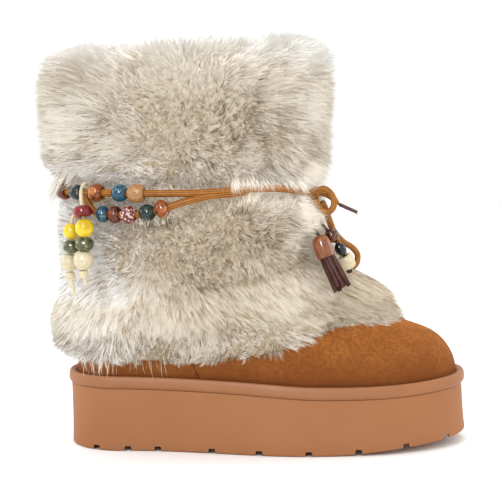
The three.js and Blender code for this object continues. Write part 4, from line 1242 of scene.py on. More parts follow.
# What makes hairs paler or darker, on a scale from dark (0) to white (1), and where, in metres. Much of it
# is painted light and shade: painted light on the rim, round the cord, at both ends, on the heel side and
# on hairs facing down; painted shade in the end-on patches, the crease and over the front of the foot
tone_shifts = {
    "plain": 0.31, "rim": 0.56, "low": -0.05, "waist": 0.34, "ends": 0.2, "patch": -0.12, "crease": -0.2,
    "under": 0.35, "cuff": 0.11, "heel_high": 0.5, "heel_low": 0.16, "hem": 0.2, "front_foot": -0.33,
}
tone_zones = {
    "rim": (rim_level - 0.032, rim_level - 0.006), "cuff": (cord_level - 0.004, cord_level + 0.012),
    "low": (0.07, 0.12), "hem": (0.07, 0.098), "heel_side": (0.03, 0.078), "front_foot": (0.13, 0.19),
    "ends": (0.03, 0.075),
}
fur_middle_x = 0.096
waist_half_width = 0.018
heel_split = 0.1
front_foot_top = 0.135
under_range = (0.2, 0.6)
# Darker tufts picked at random, most in the end-on patches: painted shade of tufts that lie deeper
dark_tuft = {"below": -0.85, "shift": 0.06, "in_patch": 0.62}
tone_calm = {"rim": 0.85, "ends": 0.7, "low": 0.3, "least": 0.15, "patch": 0.9}
tone_spread = {"clump": 0.05, "hair": 0.08}
# Hairs that fill the corner under the front of the cuff, behind the bow
corner_fill = [(166, 194, 173, 184, 2.4, 3, 420), (162, 190, 169, 179, 2.4, 2.6, 420)]
# How far a lock's hairs stray, keep off what they cover and look round it, in metres, and their tones
lock_stray = 0.0019
lock_clearance = 0.0008
lock_clearance_range = (0.6, 1.4)
lock_reach = 0.002
lock_root = 0.6
lock_shade = 0.2
lock_tones = (0.03, 0.9)
# Wisps over the suede: where along the boot, how many hairs, and how far they hang, in metres
wisp_spots = [
    (0.0155, 26, 0.013), (0.0235, 18, 0.011), (0.058, 12, 0.013), (0.044, 8, 0.009), (0.083, 8, 0.007),
]
wisp_rows = (1, 9)
wisp_drops = (0.6, 1.15)
wisp_spread = 3
wisp_sway = 0.0022
wisp_out = {"share": 0.3, "lean": 0.001}
wisp_bow = 0.0016
wisp_tone = (0.6, 0.1)

# Locks over cords and beads: start and end as x and z in millimetres from the heel, spread, count of hairs
fur_locks = [
    (6, 187, 4, 177, 1.2, 1.6, 160), (-6, 187.6, -9, 170, 1.2, 2.4, 480),
    (124, 161, 125.5, 172, 2.2, 0.6, 170), (153, 168, 163.4, 165.6, 0.8, 1.7, 260),
    (112, 187, 115.5, 174.8, 1.2, 1, 120), (126, 186, 127.5, 176.4, 8, 0.5, 330),
    (137, 185, 139, 178, 6, 0.6, 80), (150, 186, 153, 176, 2.4, 1, 120),
    (157, 187, 160.6, 174.4, 1.2, 1.2, 190), (128, 159, 130, 170.4, 8, 0.6, 240),
    (120, 158, 122, 169.6, 4, 0.7, 200), (150, 159, 152, 168.4, 5, 0.6, 150),
    (60, 150, 62.5, 157, 7, 1, 220), (71, 152, 74, 159.5, 3, 1.3, 120),
    (153, 159, 166.4, 157, 1.2, 3.2, 900), (157, 157, 170, 155.4, 1.2, 2, 420),
]
# Where the fur is seen end-on, painted darker as shade for the dark roots that show between its hairs
end_on_patches = [
    {"x": 0.098, "z": 0.212, "wide": 0.019, "high": 0.028},
    {"x": 0.106, "z": 0.142, "wide": 0.026, "high": 0.022},
]
hair_counts = {
    "skirt_outer": 52000, "skirt_inner": 42000, "cuff_outer": 50000, "cuff_inner": 40000, "rim": 44000,
    "down_outer": 76000, "down_inner": 38000,
}
hair_seed = 7
clear_batch = 4000


def grid_row(place):
    return place * (fur_grid_rows - 1) / last_place


def spread_places(field, rows, columns, count, rng):
    """Rows and columns on the fur's grid, evenly over its area."""
    area = field.area.copy()
    area[: int(rows[0])] = 0
    area[int(rows[1]):] = 0
    area[:, : columns[0]] = 0
    area[:, columns[1]:] = 0
    share = np.cumsum(area.ravel())
    cells = np.searchsorted(share, rng.random(count) * share[-1])
    row = cells // fur_grid_columns + rng.random(count)
    return row, cells % fur_grid_columns + rng.random(count)


def moved(field, row, column, up, around):
    """Places moved by lengths up and round the fur."""
    i = np.clip(row.astype(int), 0, fur_grid_rows - 2)
    j = column.astype(int) % fur_grid_columns
    tall = np.linalg.norm(field.tips[i + 1, j] - field.tips[i, j], axis=1) + 1e-5
    wide = np.linalg.norm(field.tips[i, (j + 1) % fur_grid_columns] - field.tips[i, j], axis=1) + 1e-5
    return np.clip(row + up / tall, 0.0, fur_grid_rows - 1.001), column + around / wide


def crease_share(x, z):
    """1 on the soft crease across the skirt, 0 away from it."""
    nearest = np.full(x.shape, 1.0)
    for start, end in zip(fur_crease[:-1], fur_crease[1:]):
        way = np.array(end) - start
        share = np.clip(((x - start[0]) * way[0] + (z - start[1]) * way[1]) / (way @ way), 0, 1)
        away = np.hypot(x - start[0] - share * way[0], z - start[1] - share * way[1])
        nearest = np.minimum(nearest, away)
    return np.exp(-((nearest / crease_half_width) ** 2))


def waves(rows, x, y, z):
    total = 0
    for far, by_x, by_y, by_z, start in rows:
        total = total + far * np.sin(x * by_x + y * by_y + z * by_z + start)
    return total


def flow(place):
    """The lay of the fur, in metres up and round, from where it stands."""
    x = place[:, 0] - heel_x
    y = place[:, 1]
    z = place[:, 2]
    hem = hem_level(np.arctan2(y, x - skirt_centre))
    skirt_up = np.interp((z - hem) / (cord_level - hem), *skirt_lay)
    lift = np.clip((z - cuff_lay["level"]) / cuff_lay["over"], cuff_lay["least"], 1)
    cuff_up = cuff_lay["lean"] * (lift - smooth_step(x, cuff_lay["falls"]))
    up = np.where(z < cord_level, skirt_up, cuff_up)
    return up + waves(waves_up, x, y, z), waves(waves_around, x, y, z)


def patch_share(place):
    """1 where the fur is seen end-on, where painted shade darkens the hairs."""
    x = place[:, 0] - heel_x
    share = np.zeros(len(x))
    for patch in end_on_patches:
        away = ((x - patch["x"]) / patch["wide"]) ** 2 + ((place[:, 2] - patch["z"]) / patch["high"]) ** 2
        share = np.maximum(share, np.exp(-away))
    return share * (place[:, 1] < 0)


def hair_tone(place, out, rng_clump, rng_hair):
    """How pale a hair is, from 0 to 1, with painted light and shade laid in by place."""
    x = place[:, 0] - heel_x
    z = place[:, 2]
    cuff = smooth_step(z, tone_zones["cuff"])
    heel_side = (1 - smooth_step(x, tone_zones["heel_side"])) * (1 - cuff)
    away, most = under_range
    shares = {
        "plain": 1,
        "rim": smooth_step(z, tone_zones["rim"]),
        "low": 1 - smooth_step(z, tone_zones["low"]),
        "waist": np.exp(-(((z - cord_level) / waist_half_width) ** 2)),
        "ends": smooth_step(np.abs(x - fur_middle_x), tone_zones["ends"]),
        "patch": patch_share(place),
        "crease": crease_share(x, z) * (place[:, 1] < 0),
        "under": np.clip(-out[:, 2] - away, 0, most),
        "cuff": cuff,
        "heel_high": heel_side * (z > heel_split),
        "heel_low": heel_side * (z <= heel_split),
        "hem": 1 - smooth_step(z, tone_zones["hem"]),
        "front_foot": smooth_step(x, tone_zones["front_foot"]) * (z < front_foot_top),
    }
    # Painted light and shade laid into the tone by place, as in tone_shifts
    tone = sum(tone_shifts[name] * share for name, share in shares.items())
    tuft_shift = dark_tuft["shift"] + dark_tuft["in_patch"] * shares["patch"]
    # Painted shade: darker tufts at random, most in the end-on patches
    tone = tone - (rng_clump < dark_tuft["below"]) * tuft_shift * (1 - shares["rim"])
    calm = 1 - sum(tone_calm[name] * shares[name] for name in ("rim", "ends", "low"))
    calm = np.clip(calm, tone_calm["least"], 1) + tone_calm["patch"] * shares["patch"]
    tone = tone + calm * (tone_spread["clump"] * rng_clump + tone_spread["hair"] * rng_hair)
    return np.clip(tone, 0.01, 0.99)


def hair_paths(field, rows, columns, count, rng, full, wild):
    """Root, middle and tip of each hair, the fur's outward direction there, and its tone."""
    clumps = count // (hairs_a_tuft * tufts_a_clump)
    row, column = spread_places(field, rows, columns, clumps, rng)
    noise = rng.normal(size=(clumps, 4))
    tufts = np.repeat(np.arange(clumps), tufts_a_clump)
    around = rng.normal(size=(len(tufts), 4))
    row, column = moved(
        field, row[tufts], column[tufts], around[:, 0] * clump_spread, around[:, 1] * clump_spread
    )
    lean = wild * (noise[tufts, :2] * clump_lean + around[:, 2:] * tuft_lean)
    reach = full + wild * (reach_spread["clump"] * noise[tufts, 2] + reach_spread["tuft"] * around[:, 1])
    hairs = np.repeat(np.arange(len(tufts)), hairs_a_tuft)
    own = rng.normal(size=(len(hairs), 6))
    hair_row, hair_column = moved(
        field, row[hairs], column[hairs], own[:, 0] * tuft_spread, own[:, 1] * tuft_spread
    )
    root, _ = hair_ends(field, hair_row, hair_column, root_share + root_spread * own[:, 2], 0 * own[:, :2])
    hair_reaches = reach[hairs] + wild * reach_spread["hair"] * own[:, 3]
    tip, _ = hair_ends(field, hair_row, hair_column, hair_reaches, lean[hairs])
    tuft_tip, out = hair_ends(field, row, column, reach, lean)
    pull = wild * (tuft_pull["mean"] + tuft_pull["spread"] * own[:, 4:5])
    tip = tip + pull * (tuft_tip[hairs] - tip) + own[:, 3:6] * tip_spread
    out = out[hairs]
    way = tip - root
    middle = root + 0.5 * way + hair_bow * out * np.linalg.norm(way, axis=1, keepdims=True)
    tone = hair_tone((root + tip) / 2, out, around[hairs, 1] + 0.5 * noise[tufts[hairs], 3], own[:, 5])
    return root, middle, tip, out, tone


def hair_ends(field, row, column, share, lean):
    """A place at a share of the pile, moved by the fur's lay there and a lean of its own."""
    base = field.read(field.roots, row, column)
    pile = field.read(field.tips, row, column) - base
    out = unit(field.read(field.out, row, column))
    up = unit(field.read(field.lay, row, column))
    around = unit(field.read(field.around, row, column))
    place = base + pile * share[:, None]
    lay_up, lay_around = flow(place)
    outer_side = place[:, 1] < 0
    dip = crease_share(place[:, 0] - heel_x, place[:, 2]) * outer_side * crease_dip
    moving = np.clip((share - root_share) / moving_span, 0, 1)
    place = base + pile * (share - dip * moving)[:, None]
    place = place + up * ((lay_up + lean[:, 0]) * moving)[:, None]
    return place + around * ((lay_around + lean[:, 1]) * moving)[:, None], out


def clear_of(points, solids):
    """False for each point that lies in one of the cords or beads, given as path points with a radius."""
    free = np.ones(len(points), bool)
    for path, radius in solids:
        low = path.min(0) - radius
        high = path.max(0) + radius
        near = np.flatnonzero(((points > low) & (points < high)).all(1))
        for start in range(0, len(near), clear_batch):
            some = near[start:start + clear_batch]
            away = np.linalg.norm(points[some][:, None] - path[None], axis=2).min(1)
            free[some] &= away > radius
    return free


def hair_piece(name, paths, material, solids, rng, thick=hair_width, straight=False):
    """Hairs as ribbons of three triangles, or of one where they are straight."""
    root, middle, tip, out, tone = paths
    free = clear_of(tip, solids) & clear_of(middle, solids) & clear_of((middle + tip) / 2, solids)
    root, middle, tip, out, tone = (part[free] for part in (root, middle, tip, out, tone))
    count = len(root)
    way = unit(tip - root)
    side = unit(np.cross(way, out + hair_ribbon["tilt"] * rng.normal(size=(count, 3))))
    face = np.cross(way, side)
    side = side * np.where((face * out).sum(1, keepdims=True) < 0, 1, -1)
    width = thick * (hair_ribbon["least"] + hair_ribbon["spread"] * rng.random((count, 1)))
    half = side * width / 2
    foot = [root - half, root + half]
    root_v, middle_v, tip_v = hair_v.values()
    if straight:
        points = np.stack(foot + [tip], 1)
        corners = np.array([[0, 1, 2]])
        along = (root_v, root_v, tip_v)
    else:
        half = side * width * hair_ribbon["middle"]
        points = np.stack(foot + [middle - half, middle + half, tip], 1)
        corners = np.array([[0, 1, 3], [0, 3, 2], [2, 3, 4]])
        along = (root_v, root_v, middle_v, middle_v, tip_v)
    stations = len(along)
    triangles = (np.arange(count)[:, None, None] * stations + corners).reshape(-1, 3)
    piece = mesh_object(name, points.reshape(-1, 3), triangles, material, "faux_fur")
    piece.visible_shadow = False
    piece.visible_diffuse = False
    raised = np.stack([way[:, 0], way[:, 1], np.maximum(way[:, 2], hair_normal["least_rise"])], -1)
    normals = unit(out + hair_normal["spread"] * rng.normal(size=(count, 3)) + hair_normal["way"] * raised)
    piece.data.normals_split_custom_set_from_vertices(np.repeat(normals, stations, 0).tolist())
    across = np.array([-hair_edge_u, hair_edge_u] * (stations // 2) + [0.0])
    places = np.stack([tone[:, None] + across, np.broadcast_to(along, (count, stations))], -1)
    layer = piece.data.uv_layers.new(name="OFBake")
    layer.data.foreach_set("uv", places.reshape(-1, 2)[triangles.ravel()].astype(np.float32).ravel())


def front_at(solids, x, z, otherwise):
    """How far out the foremost cord or bead stands at places seen from the outer side."""
    front = otherwise.copy()
    for path, radius in solids:
        away = np.hypot(x[:, None] - path[None, :, 0], z[:, None] - path[None, :, 2])
        over = np.where(away < radius + lock_reach, path[None, :, 1] - radius, 1.0)
        front = np.minimum(front, over.min(1))
    return front


def locks(rows, field, solids, rng):
    """Hairs that start in the fur beside a cord or bead and lie over it."""
    half = fur_grid_columns // 2
    tips = field.tips[:, half:].reshape(-1, 3)
    parts = []
    for start_x, start_z, end_x, end_z, wide, high, count in rows:
        spread = rng.normal(size=(count, 2)) * (wide, high) / 1000
        start = spread + (start_x / 1000 + heel_x, start_z / 1000)
        end = spread + rng.normal(size=(count, 2)) * lock_stray + (end_x / 1000 + heel_x, end_z / 1000)
        away = (tips[None, :, 0] - start[:, :1]) ** 2 + (tips[None, :, 2] - start[:, 1:]) ** 2
        nearest = away.argmin(1)
        row = nearest // half + 0.5
        column = nearest % half + half + 0.5
        root, out = hair_ends(field, row, column, np.full(count, lock_root), np.zeros((count, 2)))
        front = front_at(solids, end[:, 0], end[:, 1], root[:, 1])
        front -= lock_clearance * rng.uniform(*lock_clearance_range, count)
        tip = np.stack([end[:, 0], front, end[:, 1]], -1)
        middle = (root + tip) / 2
        middle[:, 1] = np.minimum(root[:, 1], front) - lock_clearance
        own = rng.normal(size=(2, count))
        tone = np.clip(hair_tone(root, out, own[0], own[1]) - lock_shade, *lock_tones)
        parts.append((root, middle, tip, out, tone))
    return tuple(np.concatenate(part) for part in zip(*parts))


def wisps(field, rng):
    """A few long hairs that hang over the suede and the rim."""
    rows = []
    columns = []
    drops = []
    half_turn = fur_grid_columns // 2
    angles = np.arange(half_turn, fur_grid_columns)
    tips_x = field.tips[4, angles, 0] - heel_x
    for x, count, drop in wisp_spots:
        column = angles[np.argmin(np.abs(tips_x - x))]
        rows.append(rng.uniform(*wisp_rows, count))
        columns.append(column + rng.normal(size=count) * wisp_spread)
        drops.append(drop * rng.uniform(*wisp_drops, count))
    row, column, drop = (np.concatenate(part) for part in (rows, columns, drops))
    root, out = hair_ends(field, row, column, np.full(len(row), lock_root), np.zeros((len(row), 2)))
    sway = rng.normal(size=(len(row), 2)) * wisp_sway
    outward = sway[:, 1] * wisp_out["share"] - wisp_out["lean"]
    tip = root + np.stack([sway[:, 0], outward, -drop], -1)
    middle = (root + tip) / 2 + out * wisp_bow
    palest, spread = wisp_tone
    return root, middle, tip, out, palest + spread * rng.random(len(row))


def make_fur(field, materials, solids):
    make_fur_skin(field, materials["skin"])
    hair = materials["hair"]
    rng = np.random.default_rng(hair_seed)
    half = fur_grid_columns // 2
    sides = {"outer": (half, fur_grid_columns), "inner": (0, half)}
    spans = {part + "_" + side: (places, columns, hair_reach)
             for part, places in (("skirt", skirt_places), ("cuff", cuff_places))
             for side, columns in sides.items()}
    spans["rim"] = (rim_places, (0, fur_grid_columns), rim_reach)
    for name, (places, columns, reach) in spans.items():
        rows = tuple(grid_row(place) for place in places)
        paths = hair_paths(field, rows, columns, hair_counts[name], rng, *reach)
        if name == "skirt_outer":
            paths = tuple(np.concatenate(pair) for pair in zip(paths, wisps(field, rng)))
        hair_piece("fur_" + name, paths, hair, solids, rng)
    rows = (1, grid_row(rim_places[1]) - 1)
    for side, columns in sides.items():
        name = "down_" + side
        paths = hair_paths(field, rows, columns, hair_counts[name], rng, *down_reach)
        hair_piece("fur_" + name, paths, hair, solids, rng, down_width, straight=True)
    hair_piece("fur_locks", locks(fur_locks, field, solids, rng), hair, [], rng, lock_width)
    hair_piece("fur_corner", locks(corner_fill, field, [], rng), hair, solids, rng)


# Cords, beads, bow, tassel and charm
# A bead has its cord, its length and diameter in millimetres, its material and its form.
wrap_beads = {
    "wrap_bead_01": ("upper", 8.6, 11, "amber", "barrel"),
    "wrap_bead_02": ("upper", 9.4, 10.2, "pine", "round"),
    "wrap_bead_03": ("upper", 9.6, 12.2, "caramel", "ribbed"),
    "wrap_bead_04": ("upper", 9.6, 11.4, "teal", "round"),
    "wrap_bead_05": ("upper", 10.4, 12, "ash_wood", "barrel"),
    "wrap_bead_06": ("lower", 7.8, 10.8, "teal", "round"),
    "wrap_bead_07": ("lower", 7.2, 11.4, "amber", "barrel"),
    "wrap_bead_08": ("lower", 10.2, 12, "russet", "round"),
    "wrap_bead_09": ("lower", 9.4, 10.8, "pine", "round"),
    "wrap_bead_10": ("lower", 8.2, 12, "caramel", "disc"),
}
drop_beads = {
    "drop_bead_1": ("string", 8.6, 9.8, "tiger", "round"),
    "drop_bead_2": ("string", 8.6, 7.6, "black_teal", "round"),
    "drop_bead_3": ("string", 9.2, 10.6, "ivory_wood", "can"),
}
charm_beads = {
    "charm_bead_1": ("front", 7.2, 13, "red_resin", "ribbed"),
    "charm_bead_2": ("front", 11, 11.8, "yellow_resin", "round"),
    "charm_bead_3": ("front", 7.8, 12.6, "olive_resin", "faceted"),
    "charm_bead_4": ("front", 11.6, 12.6, "ivory_wood", "round"),
    "charm_bead_5": ("rear", 9.8, 11, "yellow_resin", "round"),
    "charm_bead_6": ("rear", 7.8, 10.8, "olive_resin", "faceted"),
    "charm_bead_7": ("rear", 10.8, 11.2, "ivory_wood", "round"),
}
# Bead forms: their ends' radius as a share of the belly's, how flat the belly is, and ribs with their depth
bead_looks = {
    "round": {"end": 0.6, "power": 2.3},
    "barrel": {"end": 0.74, "power": 3.4},
    "ribbed": {"end": 0.66, "power": 2.8, "ribs": 12, "depth": 0.045},
    "can": {"end": 0.84, "power": 6.0},
    "disc": {"end": 0.62, "power": 2.6},
    "faceted": {"end": 0.7, "power": 3.0, "ribs": 9, "depth": 0.07},
}
bead_slots = {"tiger": "amber", "black_teal": "pine"}
# A bead's bevel, its room round the cord, and the wall left at its ends, in metres
bead_lip = 0.0004
bead_bore_gap = 0.0004
bead_end_wall = 0.0008
bead_rings = 17
sides_a_rib = {9: 3, 12: 2}
plain_bead_sides = 24
# How deep the grooves between the lace's ribs are, as a share of its radius
lace_rib = {"ankle": 0.13, "loop": 0.14}
# The knot of the bow: how large its turns are, how flat, and how thick the lace is in it
bow_knot_turn = {"size": 0.00092, "flat": 0.9, "lace": 0.0034}
# The lace's end: how it narrows, the waves of its wrapping and the ring on it
stub_taper = {"share": 0.56, "from": 0.74}
tip_wrap = {"radius": 0.00118, "wave": 0.00006, "turns": 110, "taper": 0.0001}
tip_ring = (0.0013, 0.0016, 0.0016, 0.0012)
string_knot = {"radius": 0.0021, "length": 0.0034}
charm_knot = {"radius": 0.0034, "length": 0.0052}


def node_middle(name):
    low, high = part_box(name)
    return (np.array(low) + np.array(high)) / 2


def bead_piece(name, path, cord_diameter, length, diameter, material, slot, look):
    """A bead with a bore, where the part has it, along the cord."""
    form = bead_looks[look]
    ribs = form.get("ribs", 0)
    belly = diameter / 2000
    half = length / 2000
    lip = bead_lip
    bore = cord_diameter / 2 + bead_bore_gap
    share = np.sin(np.linspace(-math.pi / 2, math.pi / 2, bead_rings))
    end = max(form["end"], (bore + bead_end_wall) / belly)
    radius = belly * (1 - (1 - end) * np.abs(share) ** form["power"])
    outside = [(bore, -half + lip), (bore + lip, -half), (radius[0] - lip, -half)]
    outside += list(zip(radius, share * (half - lip)))
    outside += [(radius[-1] - lip, half), (bore + lip, half), (bore, half - lip)]
    outside = np.array(outside)
    angle = turns(ribs * sides_a_rib[ribs] if ribs else plain_bead_sides)
    wave = 1 - form.get("depth", 0) * (1 - np.cos(angle * ribs)) / 2
    solid = (outside[:, :1] > bore + 2 * lip) & (np.abs(outside[:, 1:]) < half)
    around = np.where(solid, outside[:, :1] * wave[None, :], outside[:, :1])
    local = np.stack([
        around * np.cos(angle), around * np.sin(angle), np.broadcast_to(outside[:, 1:], around.shape)
    ], -1)
    place = node_middle(name)
    turned = local @ rotation_to(nearest_tangent(path, place)) + place
    points, faces = loft(turned, closed=True)
    return mesh_object(name + "_fine", points, faces, material, slot, [name])


def make_beads(beads, paths, cord_diameter, materials):
    pieces = {}
    for name, (strand, length, diameter, colour, look) in beads.items():
        pieces[name] = bead_piece(
            name, paths[strand], cord_diameter, length, diameter, materials[colour],
            bead_slots.get(colour, colour), look
        )
    return pieces


def make_ankle_cord(materials):
    """Both strands of the cord round the ankle, and the beads on them."""
    paths = {"upper": upper_strand_path(), "lower": lower_strand_path()}
    beads = make_beads(wrap_beads, paths, lace_diameter, materials)
    for strand, path in paths.items():
        points, faces = cord_tube(path, lace_diameter, sides=18, ridges=9, depth=lace_rib["ankle"])
        replaced = ["ankle_cord"] if strand == "upper" else []
        name = "ankle_cord_" + strand
        piece = mesh_object(name, points, faces, materials["cord"], "waxed_cord", replaced)
    return paths


def make_bow(materials):
    """The knot with the lace's short end, and the two loops of its bow."""
    around = turns(60)
    turn = np.stack([
        np.sin(around) + 2 * np.sin(2 * around), -np.sin(3 * around) * bow_knot_turn["flat"],
        np.cos(around) - 2 * np.cos(2 * around),
    ], -1) * bow_knot_turn["size"]
    knot = from_heel(knot_place) + turn
    closed = np.concatenate([knot, knot[:1]])
    tied = cord_tube(closed, bow_knot_turn["lace"], sides=14, ridges=7, depth=lace_rib["ankle"])
    points, faces = joined([tied, tapered_stub()])
    mesh_object("bow_knot_tied", points, faces, materials["cord"], "waxed_cord", ["bow_knot"])
    paths = {
        "near": smooth_path(from_heel(bow_loop_near), 70),
        "far": smooth_path(from_heel(bow_loop_far), 130),
    }
    for side, path in paths.items():
        points, faces = cord_tube(path, bow_diameter, sides=18, ridges=9, depth=lace_rib["loop"])
        name = "bow_loop_" + side
        piece = mesh_object(name + "_lace", points, faces, materials["cord"], "waxed_cord", [name])
    return list(paths.values()) + [smooth_path(from_heel(lace_stub), 24)]


def tapered_stub(count=40, sides=14, ridges=7):
    """The lace's short end, narrowing to where its dark tip begins."""
    path = smooth_path(from_heel(lace_stub + lace_tip[:1]), count)
    narrowing = smooth_step(np.linspace(0, 1, count), (stub_taper["from"], 1.0))
    radius = bow_diameter / 2 * (1 - stub_taper["share"] * narrowing)[:, None]
    ridge = np.abs(np.sin(turns(sides) * ridges / 2))[None, :]
    depth = lace_rib["ankle"]
    rings = tube_rings(path, radius * (1 - depth + depth * ridge), sides)
    return loft(np.concatenate([rings, np.broadcast_to(ridge, rings.shape[:2])[..., None]], -1))


def make_lace_tip(materials, count=40):
    """The dark wrapped end of the lace, and the ring on it."""
    path = smooth_path(from_heel(lace_tip), count)
    share = np.linspace(0, 1, count)
    wave = tip_wrap["wave"] * np.sin(share * tip_wrap["turns"])
    radius = tip_wrap["radius"] + wave - tip_wrap["taper"] * share
    points, faces = loft(tube_rings(path, radius[:, None], 12))
    mesh_object("lace_tip_wrapped", points, faces, materials["lace_wrap"], "dark_resin", ["lace_tip"])
    ring = path[-len(tip_ring):] + (path[-1] - path[-2]) * 0.6
    points, faces = loft(tube_rings(ring, np.array(tip_ring)[:, None], 16))
    mesh_object("lace_tip_ring", points, faces, materials["silver"], "dark_resin")


def make_bead_string(materials):
    path = smooth_path(from_heel(bead_string), 60)
    beads = make_beads(drop_beads, {"string": path}, string_diameter, materials)
    points, faces = cord_tube(path, string_diameter, sides=10)
    look = materials["dark_string"]
    piece = mesh_object("bead_string_cord", points, faces, look, "dark_resin", ["bead_string"])
    bulb = knot_bulb(path[-3], path[-3] - path[-6], **string_knot)
    end = mesh_object("bead_string_knot", *bulb, look, "dark_resin")
    return path


def knot_bulb(place, axis, radius, length, turns_round=2, sides=14):
    """A small wrapped knot round a cord: a few turns side by side."""
    along = np.linspace(-1, 1, 8 * turns_round + 5)
    swell = radius * (0.55 + 0.45 * np.sqrt(np.maximum(0, 1 - along**2)))
    swell = swell * (1 - 0.14 * np.cos(along * math.pi * turns_round) ** 2)
    return loft(turned_profile(swell, along * length / 2, sides) @ rotation_to(np.asarray(axis)) + place)


# The tassel's cap from its top down: radius as a share of its own, and how far down its length
cap_profile = [
    (0.2, 0), (0.5, 0.025), (0.8, 0.12), (0.95, 0.27), (1, 0.5), (0.99, 0.8), (0.975, 0.96), (0.94, 1),
]
cap_inside = [(0.8, 1), (0.78, 0.9), (0.5, 0.86)]
cap_diameter = 0.0121
strip_width = 0.0031
strip_thickness = 0.0008
# Two rings of strips: how many, how far from the middle, where they start, and their length and width
outer_strips = {"count": 8, "stand": 0.004, "start": 0.0, "long": 1, "wide": 1}
inner_strips = {"count": 6, "stand": 0.0019, "start": 0.35, "long": 0.9, "wide": 0.8}
strip_tuck = 0.14
hanger_in_cap = (0.3, 0.9)
strip_splay = {"spread": 0.0009, "wave": 0.0006, "sway": 0.0011, "twist": 0.5}


def turned_profile(radius, height, sides):
    """Rings round Z from a list of radii and their heights."""
    angle = turns(sides)
    wide = radius[:, None]
    return np.stack(np.broadcast_arrays(wide * np.cos(angle), wide * np.sin(angle), height[:, None]), -1)


def make_tassel(materials):
    """Hanger, rolled cap, and separate leather strips."""
    top, middle, end = from_heel(tassel_axis)
    in_cap = [top + (middle - top) * share for share in hanger_in_cap]
    path = smooth_path(np.concatenate([from_heel(tassel_cord), in_cap]), 50)
    points, faces = cord_tube(path, string_diameter, sides=10)
    cord = mesh_object("tassel_hanger", points, faces, materials["dark_string"], "leather", ["tassel_cord"])
    length = np.linalg.norm(middle - top)
    rows = np.array(cap_profile)
    fine = read_smooth(np.linspace(0, len(rows) - 1, 26), np.arange(len(rows)), rows)
    profile = np.concatenate([fine, cap_inside])
    local = turned_profile(profile[:, 0] * cap_diameter / 2, profile[:, 1] * length, 28)
    points, faces = loft(local @ rotation_to(middle - top) + top)
    look = materials["cap_leather"]
    cap = mesh_object("tassel_cap_rolled", points, faces, look, "leather", ["tassel_cap"])
    count = outer_strips["count"] + inner_strips["count"]
    points, faces = joined([tassel_strip(i, middle, end, length) for i in range(count)])
    look = materials["strip_leather"]
    skirt = mesh_object("tassel_strips_cut", points, faces, look, "dark_leather", ["tassel_strips"])
    return path, np.linspace(top, end, 60)


def tassel_strip(index, middle, end, cap_length):
    """One leather strip from inside the cap, with a bow and a twist of its own."""
    across, up, down = rotation_to(end - middle)
    ring = outer_strips if index < outer_strips["count"] else inner_strips
    around = index * 2 * math.pi / outer_strips["count"] + ring["start"]
    out = math.cos(around) * across + math.sin(around) * up
    beside = -math.sin(around) * across + math.cos(around) * up
    reach = np.linalg.norm(end - middle) * (1.0 if index % 2 else 0.93) * ring["long"]
    share = np.linspace(0, 1, 14)[:, None]
    tuck = cap_length * strip_tuck
    stand = ring["stand"] + strip_splay["spread"] * share + strip_splay["wave"] * np.sin(share * 3 + index)
    sway = strip_splay["sway"] * math.sin(index * 2.4) * share**2
    path = middle - down * tuck + down * (reach + tuck) * share + out * stand + beside * sway
    twist = strip_splay["twist"] * math.sin(index * 1.7) * share
    face = np.cos(twist) * beside + np.sin(twist) * out
    half = face * strip_width / 2 * ring["wide"]
    slim = np.cross(face, down[None, :]) * strip_thickness / 2
    rings = np.stack([path + half + slim, path + half - slim, path - half - slim, path - half + slim], 1)
    return loft(rings[:, ::-1])


def make_charm(materials):
    paths = {
        "front": smooth_path(from_heel(charm_front), 90),
        "rear": smooth_path(from_heel(charm_rear), 90),
    }
    beads = make_beads(charm_beads, paths, charm_diameter, materials)
    twine = materials["twine"]
    for side, path in paths.items():
        points, faces = cord_tube(path, charm_diameter, sides=12, ridges=6, depth=0.12)
        cord_name = "charm_cord_" + side
        piece = mesh_object(cord_name + "_twine", points, faces, twine, "twine", [cord_name])
        name = "charm_knot_" + side
        place = node_middle(name)
        bulb = knot_bulb(place, nearest_tangent(path, place), **charm_knot)
        knot = mesh_object(name + "_tied", *bulb, twine, "twine", [name])
    return list(paths.values())


# Stage
# Soft lamps: place, size and power, all aimed at the boot's middle
lamps = {
    "key": ((-0.5, -1.1, 1.25), 0.9, 7),
    "fill": ((1.1, -0.9, 0.5), 1.0, 2),
    "top": ((0.1, 0.3, 1.4), 1.1, 6),
    "left_side": ((-1.3, 0.15, 0.45), 0.8, 4),
    "right_side": ((1.4, 0.2, 0.6), 0.8, 4),
    "glint": ((-0.2, -1.3, 0.6), 0.26, 13),
}
glint_height = 0.5
lamp_aim = (0.05, 0, 0.13)
world_strength = 1.03
floor_greys = (0.955, 0.97)
floor_half = 4
floor_drop = 0.0002
# How far hairs keep from cords, strings and beads, and the radius they leave round the tassel
clear_of_lace = 0.0002
clear_of_string = 0.0003
tassel_room = 0.0052


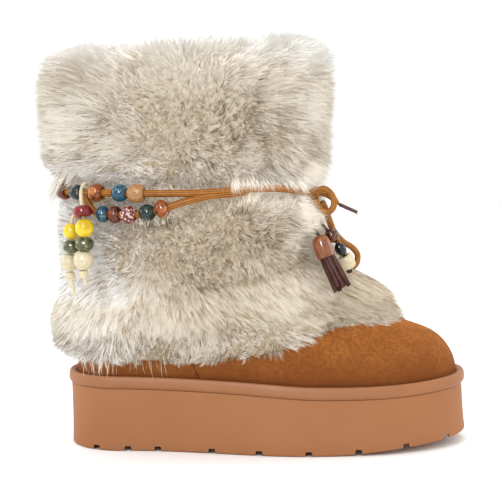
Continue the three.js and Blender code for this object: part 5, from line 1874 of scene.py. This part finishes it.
def make_light(name, place, size, power):
    data = bpy.data.lights.new(name, "AREA")
    data.shape = "ELLIPSE"
    data.size = size
    data.size_y = size
    data.energy = power
    lamp = bpy.data.objects.new(name, data)
    lamp.location = place
    lamp.rotation_euler = (Vector(lamp_aim) - Vector(place)).to_track_quat("-Z", "Y").to_euler()
    bpy.context.scene.collection.objects.link(lamp)
    return lamp


def make_stage():
    world = bpy.data.worlds.new("studio")
    world.use_nodes = True
    background = world.node_tree.nodes["Background"]
    background.inputs["Color"].default_value = (1, 1, 1, 1)
    background.inputs["Strength"].default_value = world_strength
    bpy.context.scene.world = world
    made = {name: make_light(name, *row) for name, row in lamps.items()}
    made["glint"].data.size_y = glint_height
    made["glint"].visible_diffuse = False
    material, tree, shader = new_material("pale_floor", Roughness=0.9)
    patches = group_node(tree, "mottle", Scale=3.0, Contrast=1.0)
    wire(tree, shader, Base_Color=blended(tree, patches, grey(floor_greys[0]), grey(floor_greys[1])))
    mesh = bpy.data.meshes.new("floor")
    corners = [(x * floor_half, y * floor_half, 0) for x, y in ((-1, -1), (1, -1), (1, 1), (-1, 1))]
    mesh.from_pydata(corners, [], [(0, 1, 2, 3)])
    mesh.materials.append(material)
    floor = bpy.data.objects.new("floor", mesh)
    floor.location.z = -floor_drop
    bpy.context.scene.collection.objects.link(floor)


def bead_solids(beads):
    """Each bead as its middle with a radius, for the fur to keep clear of."""
    return [(node_middle(name)[None], row[2] / 2000 + clear_of_lace) for name, row in beads.items()]


def main():
    make_camera()
    look_straight()
    materials = make_materials()
    strands = make_ankle_cord(materials)
    bow = make_bow(materials)
    make_lace_tip(materials)
    string = make_bead_string(materials)
    hanger, tassel = make_tassel(materials)
    charm = make_charm(materials)
    make_sole(materials["foam"])
    make_welt(materials["welt"])
    make_upper(materials["suede"], materials["lining"])
    seam_lines(materials["seam_shade"])
    make_insole(materials["felt"])
    solids = [(path, lace_diameter / 2 + clear_of_lace) for path in strands.values()]
    solids += [(path, bow_diameter / 2 + clear_of_lace) for path in bow]
    solids += [(path, string_diameter / 2 + clear_of_string) for path in [string, hanger]]
    solids += [(path, charm_diameter / 2 + clear_of_string) for path in charm]
    solids += [(tassel, tassel_room)]
    for beads in (wrap_beads, drop_beads, charm_beads):
        solids += bead_solids(beads)
    make_fur(FurField(), materials, solids)
    make_stage()


main()
